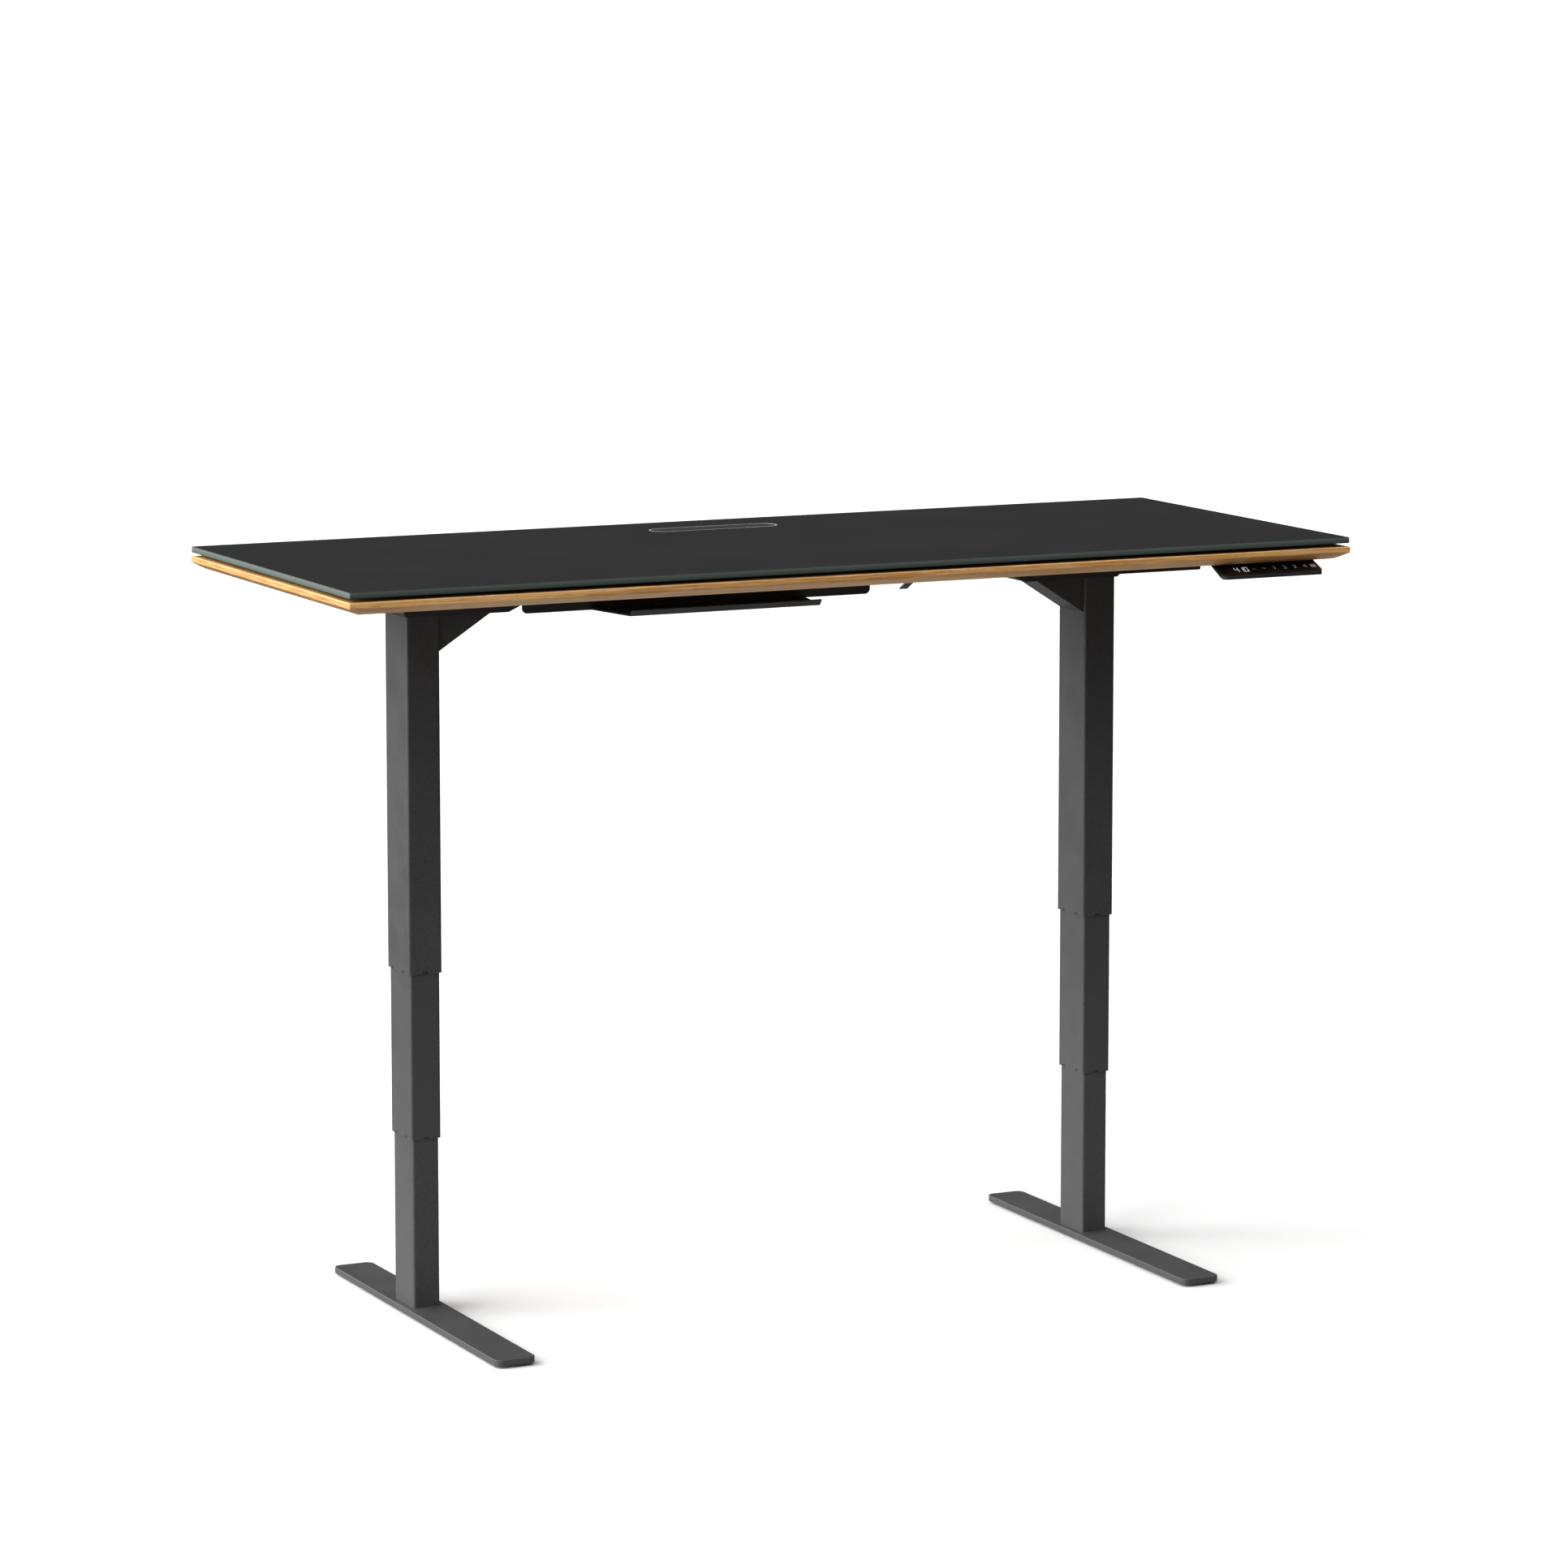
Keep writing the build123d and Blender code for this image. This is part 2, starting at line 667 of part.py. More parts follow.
def inner_nut(x):
    """The nut block at the top of the inner tube."""
    base_z = inner_top_z - nut_block_height
    nut = tube_cavity(x, inner_tube_x, inner_tube_y, base_z, inner_top_z, nut_seat_gap)
    return nut - post(x, leg_y, base_z - 1, inner_top_z + 1, hollow_spindle_diameter / 2 + nut_running_gap)


# ------------------------------------------------------------------
# Cable tray, hooks and control box
# ------------------------------------------------------------------
def cable_tray():
    """One folded sheet: rear plate, top flange, pan and upturned lip."""
    half = tray_length / 2
    low_z = panel_base_z - tray_drop
    front_y = tray_y - pan_reach
    plate = block((-half, tray_y - tray_sheet, low_z), (half, tray_y, panel_base_z))
    lower_corners = plate.edges().filter_by(Axis.Y).sort_by(Axis.Z)[:2]
    plate = fillet(lower_corners, tray_corner_radius)
    flange = block((-half, tray_y - tray_flange, panel_base_z - tray_sheet), (half, tray_y, panel_base_z))
    plan = [(-pan_rear_length / 2, tray_y), (pan_rear_length / 2, tray_y),
            (pan_front_length / 2, front_y), (-pan_front_length / 2, front_y)]
    pan = extrude(Pos(0, 0, low_z) * make_face(Polyline(*plan, close=True)), tray_sheet)
    lip_line = [(front_y - pan_lip_lean, low_z + pan_lip_height), (front_y, low_z), (front_y + tray_sheet, low_z)]
    half_lip = pan_front_length / 2
    lip = profile_yz(bent_sheet(lip_line, tray_sheet), -half_lip, half_lip)
    return drill(plate + flange + pan + lip, tray_screws, tray_sheet)


def cable_hooks():
    """A bent strip beside each end of the tray, with a flap that slopes down to the rear."""
    hooks = []
    low_z = panel_base_z - hook_drop
    line = [(tray_y + hook_reach, low_z - hook_fall), (tray_y, low_z),
            (tray_y, panel_base_z), (tray_y - hook_flange, panel_base_z)]
    for x, y in hook_screws:
        low_x = x - hook_width / 2
        hook = profile_yz(bent_sheet(line, hook_sheet), low_x, low_x + hook_width)
        hooks.append(drill(hook, [(x, y)], hook_sheet))
    return hooks


box_centre_x = box_x + box_length / 2
box_centre_y = box_front_y + box_depth / 2
box_base_z = panel_base_z - box_height
box_split_z = panel_base_z - box_lid_height


def box_shell(low_z, high_z, open_low_z, open_high_z):
    shell = rounded_bar(box_centre_x, box_centre_y, box_length, box_depth, box_corner_radius, low_z, high_z)
    inset = 2 * box_wall
    return shell - rounded_bar(box_centre_x, box_centre_y, box_length - inset, box_depth - inset,
                               box_corner_radius - box_wall, open_low_z, open_high_z)


def socket_places():
    first = box_centre_x - socket_pitch * (socket_count - 1) / 2
    return [first + socket_pitch * n for n in range(socket_count)]


socket_base_z = box_base_z + 2 * box_wall


def control_box_case():
    """The lower shell, with a window for each socket in its rear wall."""
    case = box_shell(box_base_z, box_split_z, box_base_z + box_wall, box_split_z + 1)
    case = fillet(case.faces().sort_by(Axis.Z)[0].edges(), box_edge_round)
    rear_y = box_front_y + box_depth
    for x in socket_places():
        case -= block((x - socket_width / 2, rear_y - box_wall - 1, socket_base_z),
                      (x + socket_width / 2, rear_y + 1, socket_base_z + socket_height))
    return case


def control_box_lid():
    return box_shell(box_split_z, panel_base_z, box_split_z - 1, panel_base_z - box_wall)


def control_sockets():
    """A row of connector shells in the windows of the rear wall."""
    shells = []
    rear_y = box_front_y + box_depth
    gap = box_joint_gap
    for x in socket_places():
        half = socket_width / 2 - gap
        low_z = socket_base_z + gap
        high_z = socket_base_z + socket_height - gap
        shell = block((x - half, rear_y - box_wall - socket_depth, low_z), (x + half, rear_y, high_z))
        shell -= block((x - half + socket_wall, rear_y - socket_depth, low_z + socket_wall),
                       (x + half - socket_wall, rear_y + 1, high_z - socket_wall))
        shells.append(shell)
    return shells


def control_board():
    """The circuit board on the case floor, under the sockets."""
    floor_z = box_base_z + box_wall
    half_x = box_length / 2 - box_wall - box_joint_gap
    half_y = box_depth / 2 - box_wall - box_joint_gap
    parts = rounded_bar(box_centre_x, box_centre_y, 2 * half_x, 2 * half_y, box_corner_radius - box_wall,
                        floor_z, floor_z + board_thickness)
    for x, y, size, tall in board_parts:
        corner = (box_centre_x + x - size / 2, box_centre_y + y - size / 2, floor_z)
        far = (box_centre_x + x + size / 2, box_centre_y + y + size / 2, floor_z + tall)
        parts += block(corner, far)
    return parts


# ------------------------------------------------------------------
# Keypad
# ------------------------------------------------------------------
keypad_base_z = panel_base_z - keypad_height
keypad_rise = keypad_height - keypad_nose
face_run_length = math.hypot(keypad_face_run, keypad_rise)
face_tilt = math.degrees(math.atan2(keypad_rise, keypad_face_run))
face_plane = Plane(
    origin=(keypad_x, keypad_front_y + keypad_face_run / 2, keypad_base_z + keypad_nose + keypad_rise / 2),
    x_dir=(1, 0, 0),
    z_dir=(0, -math.sin(math.radians(face_tilt)), math.cos(math.radians(face_tilt))),
)

def on_face(x, size_x, size_y, depth, radius=0.0, floor=0.0):
    """A block let into the sloping face at x, from its surface down to a depth."""
    outline = RectangleRounded(size_x, size_y, radius) if radius else Rectangle(size_x, size_y)
    return face_plane * Pos(x - keypad_x, 0, -depth) * extrude(outline, depth - floor)


def key_places():
    names = ["key_up", "key_down", "key_memory_1", "key_memory_2", "key_memory_3", "key_memory_4"]
    return {name: keypad_x + first_key_offset + key_pitch * n for n, name in enumerate(names)}


def keypad_case():
    """A wedge that hangs from the panel by a flat tongue at the rear."""
    slope_top_y = keypad_front_y + keypad_face_run
    profile = [(keypad_front_y, keypad_base_z), (keypad_front_y, keypad_base_z + keypad_nose),
               (slope_top_y, panel_base_z), (slope_top_y + keypad_top_thickness, panel_base_z),
               (keypad_front_y + keypad_sole, keypad_base_z)]
    left_x = keypad_x - keypad_length / 2
    case = profile_yz(profile, left_x, left_x + keypad_length)
    case = case & rounded_bar(keypad_x, keypad_front_y + keypad_depth / 2, keypad_length, keypad_depth,
                              keypad_corner_radius, keypad_base_z, panel_base_z)
    half = keypad_length / 2 - keypad_tongue_inset
    case += block((keypad_x - half, slope_top_y, panel_base_z - keypad_tongue_thickness),
                  (keypad_x + half, keypad_front_y + keypad_depth, panel_base_z))
    case -= on_face(keypad_x, keypad_length - 2 * keypad_face_margin, face_run_length - 2 * keypad_face_margin,
                    keypad_face_thickness, keypad_corner_radius - keypad_face_margin)
    for x in key_places().values():
        pocket = keypad_face_thickness + key_travel + key_gap
        case -= on_face(x, key_size + 2 * key_gap, key_size + 2 * key_gap, pocket)
    return case


def keypad_face():
    """The plate let into the slope, with an opening for every key and the display."""
    plate = on_face(keypad_x, keypad_length - 2 * keypad_face_margin, face_run_length - 2 * keypad_face_margin,
                    keypad_face_thickness, keypad_corner_radius - keypad_face_margin)
    for x in key_places().values():
        plate -= on_face(x, key_size + 2 * key_gap, key_size + 2 * key_gap, keypad_face_thickness + 1)
    return plate - on_face(keypad_x + display_offset, display_length, display_width, display_thickness)


def display_window():
    return on_face(keypad_x + display_offset, display_length - key_gap, display_width - key_gap, display_thickness)


# ------------------------------------------------------------------
# Write every node
# ------------------------------------------------------------------
os.makedirs("parts", exist_ok=True)

all_screws = [(x, y, arm_sheet) for places in arm_screws.values() for x, y in places]
all_screws += [(x, y, head_wall) for places in ear_screws.values() for x, y in places]
all_screws += [(x, y, tray_sheet) for x, y in tray_screws]
all_screws += [(x, y, hook_sheet) for x, y in hook_screws]
panel = wood_panel()
for x, y, sheet in all_screws:
    panel -= wood_screw(x, y, sheet, screw_clearance)

save("wood_panel", panel)
save("glass_top", glass_top())
save("glass_spacers", *glass_spacers())
save("port_liner", port_liner())
save("cable_cover", cable_cover())
save("frame_screws", *[wood_screw(x, y, sheet) for x, y, sheet in all_screws])
save("front_rail", rail(leg_y - rail_spacing / 2))
save("rear_rail", rail(leg_y + rail_spacing / 2))
save("cable_tray", cable_tray())
save("cable_hooks", *cable_hooks())
save("control_box_case", control_box_case())
save("control_box_lid", control_box_lid())
save("control_sockets", *control_sockets())
save("control_board", control_board())
save("keypad_case", keypad_case())
save("keypad_face", keypad_face())
save("display_window", display_window())
for name, x in key_places().items():
    save(name, on_face(x, key_size, key_size, key_thickness, key_corner_radius))

for side, sign in sides.items():
    x = sign * leg_x
    outer = (outer_tube_x, outer_tube_y)
    middle = (middle_tube_x, middle_tube_y)
    inner = (inner_tube_x, inner_tube_y)
    save(f"{side}_foot_bar", foot_bar(x))
    save(f"{side}_levellers", *levellers(x))
    save(f"{side}_foot_screws", *[foot_screw(x, y) for y in foot_screw_places()])
    save(f"{side}_inner_tube", inner_tube(x))
    save(f"{side}_middle_tube", tube_shell(x, *middle, middle_end_z, middle_top_z) - window_bars(x, middle_end_z))
    save(f"{side}_outer_tube", tube_shell(x, *outer, outer_end_z, head_base_z) - window_bars(x, outer_end_z))
    save(f"{side}_inner_top_guide", upper_guide(x, *inner, *middle, inner_top_z))
    save(f"{side}_middle_base_guide", lower_guide(x, *middle, *inner, middle_end_z))
    save(f"{side}_middle_top_guide", upper_guide(x, *middle, *outer, middle_top_z))
    save(f"{side}_outer_base_guide", lower_guide(x, *outer, *middle, outer_end_z))
    save(f"{side}_head", leg_head(side, sign))
    save(f"{side}_gusset", gusset(sign))
    save(f"{side}_side_arms", *side_arms(side, sign))
    save(f"{side}_gear_motor", gear_motor(sign))
    save(f"{side}_drive_spindle", drive_spindle(x))
    save(f"{side}_middle_nut", *middle_nut(x))
    save(f"{side}_hollow_spindle", hollow_spindle(x))
    save(f"{side}_inner_nut", inner_nut(x))
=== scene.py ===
import json
import math

import bpy
from mathutils import Matrix, Vector


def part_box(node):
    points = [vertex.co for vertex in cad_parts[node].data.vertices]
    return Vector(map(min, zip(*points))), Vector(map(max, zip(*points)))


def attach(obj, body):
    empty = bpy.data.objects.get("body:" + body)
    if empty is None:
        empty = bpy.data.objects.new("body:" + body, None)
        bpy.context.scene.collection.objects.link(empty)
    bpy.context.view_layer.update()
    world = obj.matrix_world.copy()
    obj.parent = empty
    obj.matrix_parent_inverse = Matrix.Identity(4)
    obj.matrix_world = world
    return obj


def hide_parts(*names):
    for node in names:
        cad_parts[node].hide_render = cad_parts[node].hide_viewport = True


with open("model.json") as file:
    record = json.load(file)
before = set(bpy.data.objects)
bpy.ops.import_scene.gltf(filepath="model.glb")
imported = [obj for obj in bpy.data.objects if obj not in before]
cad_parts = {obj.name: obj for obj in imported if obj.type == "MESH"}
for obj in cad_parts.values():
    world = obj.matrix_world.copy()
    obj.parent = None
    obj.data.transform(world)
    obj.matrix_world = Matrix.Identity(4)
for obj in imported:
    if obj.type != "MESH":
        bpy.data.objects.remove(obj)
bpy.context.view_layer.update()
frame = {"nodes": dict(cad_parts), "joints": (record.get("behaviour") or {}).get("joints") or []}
nodes = frame["nodes"]

# ---------------------------------------------------------------------------
# Camera. A long lens from the front left, a little above the worktop,
# with a small drop of the lens so that the feet stay in the frame.
# ---------------------------------------------------------------------------
lens_data = bpy.data.cameras.new("studio_camera")
lens_data.sensor_width = 36.0
lens_data.lens = 132.68
lens_data.shift_y = -0.1
lens_data.clip_end = 400.0
studio_camera = bpy.data.objects.new("studio_camera", lens_data)
studio_camera.location = (-3.5059, -7.3115, 1.9749)
studio_camera.rotation_euler = (math.radians(90 - 7.257), 0.0, math.radians(-25.711))
bpy.context.scene.collection.objects.link(studio_camera)
bpy.context.scene.camera = studio_camera

# ---------------------------------------------------------------------------
# Glass top. A sheet of toughened float glass, acid etched on its upper face
# and painted black underneath, so that it looks satin black from above. Its
# ground edge shows the grey-green of the glass itself, with painted light:
# the two ends are painted paler, and each edge is painted lighter at its top.
# ---------------------------------------------------------------------------


def colour(code):
    """An sRGB hex colour as linear light."""
    parts = [int(code[i:i + 2], 16) / 255 for i in (1, 3, 5)]
    return [p / 12.92 if p <= 0.04045 else ((p + 0.055) / 1.055) ** 2.4 for p in parts] + [1.0]


def add_node(tree, kind, settings=None, inputs=None):
    """Adds one node. An input is a value, or another node's output socket."""
    made = tree.nodes.new(kind)
    for name, value in (settings or {}).items():
        setattr(made, name, value)
    for name, value in (inputs or {}).items():
        if isinstance(value, bpy.types.NodeSocket):
            tree.links.new(value, made.inputs[name])
        else:
            made.inputs[name].default_value = value
    return made


def new_finish(name, **values):
    """A material with one shader. Names in values stand for the shader's sockets."""
    finish = bpy.data.materials.new(name)
    finish.use_nodes = True
    shader = finish.node_tree.nodes["Principled BSDF"]
    for key, value in values.items():
        shader.inputs[key.replace("_", " ").title().replace("Ior", "IOR")].default_value = value
    return finish, finish.node_tree, shader


def apply_finish(finish, *names):
    """Gives CAD nodes one finish over all their faces."""
    for name in names:
        slots = nodes[name].material_slots
        if not slots:
            nodes[name].data.materials.append(finish)
        for slot in slots:
            slot.material = finish


def place_on(tree):
    """The point on the piece, in metres."""
    return add_node(tree, "ShaderNodeTexCoord").outputs["Object"]


def facing(tree):
    """The three parts of the surface's own direction."""
    normal = add_node(tree, "ShaderNodeTexCoord").outputs["Normal"]
    return add_node(tree, "ShaderNodeSeparateXYZ", inputs={0: normal}).outputs


def calculate(tree, operation, first, second=0.0):
    """One sum on numbers."""
    return add_node(tree, "ShaderNodeMath", {"operation": operation}, {0: first, 1: second}).outputs[0]


def level(tree, value, low, high, to_low=0.0, to_high=1.0):
    """Maps a value's range on to another, smoothly and clamped."""
    return add_node(tree, "ShaderNodeMapRange", {"interpolation_type": "SMOOTHSTEP"},
                    {"Value": value, "From Min": low, "From Max": high,
                     "To Min": to_low, "To Max": to_high}).outputs[0]


def blend_colours(tree, share, first, second):
    """Mixes two colours, each given as a socket or as a hex code."""
    pair = [c if isinstance(c, bpy.types.NodeSocket) else colour(c) for c in (first, second)]
    return add_node(tree, "ShaderNodeMix", {"data_type": "RGBA"},
                    {0: share, 6: pair[0], 7: pair[1]}).outputs[2]


def relief(tree, shader, height, depth_mm, strength=0.5):
    """Bump of a given depth on the whole surface."""
    bump = add_node(tree, "ShaderNodeBump",
                    inputs={"Height": height, "Distance": depth_mm / 1000, "Strength": strength})
    tree.links.new(bump.outputs[0], shader.inputs["Normal"])


def noise(tree, size_mm, detail=2.0, stretch=(1, 1, 1)):
    """Cloudy variation whose lumps are about size_mm across."""
    place = add_node(tree, "ShaderNodeMapping",
                     inputs={"Vector": place_on(tree), "Scale": [1 / s for s in stretch]})
    return add_node(tree, "ShaderNodeTexNoise",
                    inputs={"Vector": place.outputs[0], "Scale": 1000 / size_mm,
                            "Detail": detail}).outputs[0]


# Etched glass: no clear image in it, a broad sheen at a low angle, and a
# faint cloudiness where the etch is finer or coarser. Grit drawn at 0.8 mm.
glass_finish, tree, shader = new_finish("etched_black_glass", roughness=0.42, ior=1.45)
shader.inputs["Specular IOR Level"].default_value = 0.19
edge_share = level(tree, calculate(tree, "ABSOLUTE", facing(tree)[2]), 0.35, 0.85, 1.0, 0.0)
etch_cloud = noise(tree, 180, 3.0)
top_black = blend_colours(tree, etch_cloud, "#141415", "#171718")
glass_low, glass_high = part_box("glass_top")
height = add_node(tree, "ShaderNodeSeparateXYZ", inputs={0: place_on(tree)}).outputs[2]
# Painted light on the edge: lighter towards the top of the sheet, and paler on the two end faces than on
# the long faces.
edge_light_height = level(tree, height, glass_low.z, glass_high.z)
long_edge = blend_colours(tree, edge_light_height, "#353D37", "#525C55")
lit_end_edge = blend_colours(tree, edge_light_height, "#4E5651", "#646C67")
on_end = calculate(tree, "ABSOLUTE", facing(tree)[0])
edge_green_and_painted_light = blend_colours(tree, level(tree, on_end, 0.3, 0.8), long_edge, lit_end_edge)
tree.links.new(blend_colours(tree, edge_share, top_black, edge_green_and_painted_light), shader.inputs["Base Color"])
etch_grit = noise(tree, 0.8, 1.0)
etched_rough = level(tree, etch_cloud, 0.3, 0.7, 0.41, 0.44)
edge_change = level(tree, edge_share, 0.0, 1.0, 0.0, -0.2)
tree.links.new(calculate(tree, "ADD", etched_rough, edge_change), shader.inputs["Roughness"])
relief(tree, shader, etch_grit, 0.01, 0.12)
apply_finish(glass_finish, "glass_top")

# ---------------------------------------------------------------------------
# Glass spacers. Strips of black cellular foam tape, stuck to the panel, that
# carry the glass 5 mm above it. They sit back from the edges, in shadow.
# ---------------------------------------------------------------------------
# Closed-cell foam: dead matt, with a fine skin of cells about 0.9 mm across.
foam_finish, tree, shader = new_finish("closed_cell_foam_black", roughness=0.95)
foam_cells = noise(tree, 0.9, 3.0)
tree.links.new(blend_colours(tree, foam_cells, "#121212", "#1D1D1D"), shader.inputs["Base Color"])
relief(tree, shader, foam_cells, 0.2)
apply_finish(foam_finish, "glass_spacers")

# ---------------------------------------------------------------------------
# Wood panel. A 19 mm board of laminated bamboo, glued up from strips, with
# solid lipping along all four edges that is bevelled underneath and mitred at
# the corners. Finished with a satin clear lacquer.
# ---------------------------------------------------------------------------
# Laminated bamboo: honey strips 5 mm thick at the edge and 20 mm wide
# underneath, each with its own tone, fine fibres, and short dark flecks.
wood_finish, tree, shader = new_finish("lacquered_laminated_bamboo", roughness=0.42, ior=1.5)
shader.inputs["Specular IOR Level"].default_value = 0.4
coordinates = add_node(tree, "ShaderNodeSeparateXYZ", inputs={0: place_on(tree)}).outputs
half_long, half_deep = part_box("wood_panel")[1].xy
lipping_width = 0.042
from_end = calculate(tree, "SUBTRACT", half_long, calculate(tree, "ABSOLUTE", coordinates[0]))
from_side = calculate(tree, "SUBTRACT", half_deep, calculate(tree, "ABSOLUTE", coordinates[1]))
nearer_end = calculate(tree, "LESS_THAN", from_end, from_side)
in_lipping = calculate(tree, "LESS_THAN", from_end, lipping_width)
end_grain_way = calculate(tree, "MULTIPLY", nearer_end, in_lipping)
along_x = place_on(tree)
along_y = add_node(tree, "ShaderNodeCombineXYZ",
                   inputs={0: coordinates[1], 1: coordinates[0], 2: coordinates[2]}).outputs[0]
grain_place = add_node(tree, "ShaderNodeMix", {"data_type": "VECTOR"},
                       {0: end_grain_way, 4: along_x, 5: along_y}).outputs[1]
# Each row and layer of strips starts a little further along than the last.
strip_width = 0.020
strip_thickness = 0.0046
strip_length = 0.61
row_stagger = 0.37
strip_parts = add_node(tree, "ShaderNodeSeparateXYZ", inputs={0: grain_place}).outputs
strip_row = calculate(tree, "FLOOR", calculate(tree, "DIVIDE", strip_parts[1], strip_width))
strip_layer = calculate(tree, "FLOOR", calculate(tree, "DIVIDE", strip_parts[2], strip_thickness))
strip_shift = calculate(tree, "MULTIPLY", calculate(tree, "ADD", strip_row, strip_layer), row_stagger)
strips_along = calculate(tree, "DIVIDE", strip_parts[0], strip_length)
strip_count = calculate(tree, "FLOOR", calculate(tree, "ADD", strips_along, strip_shift))
strip_name = add_node(tree, "ShaderNodeCombineXYZ",
                      inputs={0: strip_count, 1: strip_row, 2: strip_layer}).outputs[0]
strip_tone = add_node(tree, "ShaderNodeTexWhiteNoise", inputs={"Vector": strip_name}).outputs[0]


def grain(place, size_mm, length_mm, detail):
    """Fibres along the grain: size_mm across it and length_mm along it."""
    scaled = add_node(tree, "ShaderNodeMapping",
                      inputs={"Vector": place, "Scale": (size_mm / length_mm, 1.0, 1.0)}).outputs[0]
    return add_node(tree, "ShaderNodeTexNoise",
                    inputs={"Vector": scaled, "Scale": 1000 / size_mm, "Detail": detail,
                            "Roughness": 0.6}).outputs[0]


broad_fibre = grain(grain_place, 5.0, 260.0, 3.0)
fine_fibre = grain(grain_place, 1.3, 60.0, 4.0)
fleck_fibre = grain(grain_place, 1.1, 17.0, 1.0)
wood_base = blend_colours(tree, strip_tone, "#B9834A", "#D3A364")
wood_broad = blend_colours(tree, level(tree, broad_fibre, 0.35, 0.68, 0.0, 0.55), wood_base, "#8F5A20")
wood_fine = blend_colours(tree, level(tree, fine_fibre, 0.45, 0.68, 0.0, 0.65), wood_broad, "#E6BC80")
wood_dark = blend_colours(tree, level(tree, fleck_fibre, 0.63, 0.72, 0.0, 0.45), wood_fine, "#6B4014")
tree.links.new(wood_dark, shader.inputs["Base Color"])
tree.links.new(level(tree, fine_fibre, 0.3, 0.7, 0.36, 0.5), shader.inputs["Roughness"])
relief(tree, shader, fine_fibre, 0.05, 0.35)
apply_finish(wood_finish, "wood_panel")

# ---------------------------------------------------------------------------
# Cable port. A moulded liner pressed into the glass and the panel, its rim
# level with the glass, and a lift-out lid on the ledge inside it. The bright
# line round the lid is the rim's edge. A slot in the lid passes the cables.
# ---------------------------------------------------------------------------
# Bead blasted aluminium, anodised clear: a pale soft grey with no clear
# reflections, a little duller where hands have rubbed it.
rim_finish, tree, shader = new_finish("bead_blasted_aluminium", metallic=1.0, roughness=0.6)
rim_wear = noise(tree, 6.0, 3.0)
tree.links.new(blend_colours(tree, rim_wear, "#C9CBCC", "#E0E2E3"), shader.inputs["Base Color"])
tree.links.new(level(tree, rim_wear, 0.3, 0.7, 0.5, 0.68), shader.inputs["Roughness"])
relief(tree, shader, noise(tree, 0.9, 1.0, (1, 1, 30)), 0.02)
apply_finish(rim_finish, "port_liner")

# Moulded ABS with a satin spark texture, matched to the etched glass.
lid_finish, tree, shader = new_finish("moulded_abs_satin_black", roughness=0.42, ior=1.46)
shader.inputs["Specular IOR Level"].default_value = 0.32
lid_grain = noise(tree, 0.9, 2.0)
tree.links.new(blend_colours(tree, lid_grain, "#1B1B1C", "#232324"), shader.inputs["Base Color"])
tree.links.new(level(tree, lid_grain, 0.3, 0.7, 0.38, 0.48), shader.inputs["Roughness"])
relief(tree, shader, lid_grain, 0.03)
apply_finish(lid_finish, "cable_cover")

# ---------------------------------------------------------------------------
# Telescopic legs. Three welded rectangular steel tubes each, polyester powder
# coated in charcoal with a fine sand texture. Each corner carries a painted
# highlight, a slightly lighter line broken into patches.
# ---------------------------------------------------------------------------
corner_highlight_radius = 0.0012


def powder_coat(name, low, high, rough, grit_mm):
    """A baked powder coat: stippled skin, cloudy sheen, and a patchy painted highlight along the corners.
    """
    finish, tree, shader = new_finish(name, roughness=rough, ior=1.5)
    stipple = noise(tree, grit_mm, 2.0)
    clouds = noise(tree, 60, 3.0)
    soft_normal = add_node(tree, "ShaderNodeBevel", {"samples": 4},
                           {"Radius": corner_highlight_radius}).outputs[0]
    flat_normal = add_node(tree, "ShaderNodeNewGeometry").outputs["Normal"]
    across = add_node(tree, "ShaderNodeVectorMath", {"operation": "DOT_PRODUCT"},
                      {0: soft_normal, 1: flat_normal}).outputs["Value"]
    # Painted highlight: the corners, found by the bevel normal, are painted lighter in patches.
    corner = level(tree, across, 0.80, 0.985, 0.32, 0.0)
    patchy_corner_highlight = calculate(tree, "MULTIPLY", corner, level(tree, noise(tree, 14, 4.0), 0.35, 0.6))
    coat = blend_colours(tree, level(tree, stipple, 0.35, 0.65), low, high)
    coat = blend_colours(tree, patchy_corner_highlight, coat, "#8A8A8A")
    tree.links.new(coat, shader.inputs["Base Color"])
    tree.links.new(level(tree, clouds, 0.3, 0.7, rough - 0.05, rough + 0.05), shader.inputs["Roughness"])
    relief(tree, shader, stipple, 0.06, 0.35)
    return finish


leg_finish = powder_coat("powder_coated_steel_charcoal", "#2C2C2D", "#363637", 0.48, 1.6)
for side in ("left", "right"):
    apply_finish(leg_finish, f"{side}_outer_tube", f"{side}_middle_tube", f"{side}_inner_tube")

# ---------------------------------------------------------------------------
# Leg guides. Thin sleeves of black acetal between the tubes, which keep them
# from rattling. Their lugs show in the small windows at each tube's lower end.
# ---------------------------------------------------------------------------
# Acetal: slightly waxy, with the fine lines that sliding leaves along Z.
guide_finish, tree, shader = new_finish("moulded_acetal_black", roughness=0.4, ior=1.48)
slide_lines = noise(tree, 0.8, 2.0, (1, 1, 40))
tree.links.new(blend_colours(tree, slide_lines, "#151515", "#222222"), shader.inputs["Base Color"])
tree.links.new(level(tree, slide_lines, 0.3, 0.7, 0.32, 0.5), shader.inputs["Roughness"])
relief(tree, shader, slide_lines, 0.02)
for side in ("left", "right"):
    apply_finish(guide_finish, f"{side}_outer_base_guide", f"{side}_middle_base_guide",
                 f"{side}_middle_top_guide", f"{side}_inner_top_guide")

# ---------------------------------------------------------------------------
# Feet. Flat steel bars with rounded ends, coated like the legs and screwed to
# the inner tube from below. Each stands on two moulded glides.
# ---------------------------------------------------------------------------
foot_finish = powder_coat("powder_coated_bar_charcoal", "#2E2E2F", "#38383A", 0.5, 1.6)
for side in ("left", "right"):
    apply_finish(foot_finish, f"{side}_foot_bar")

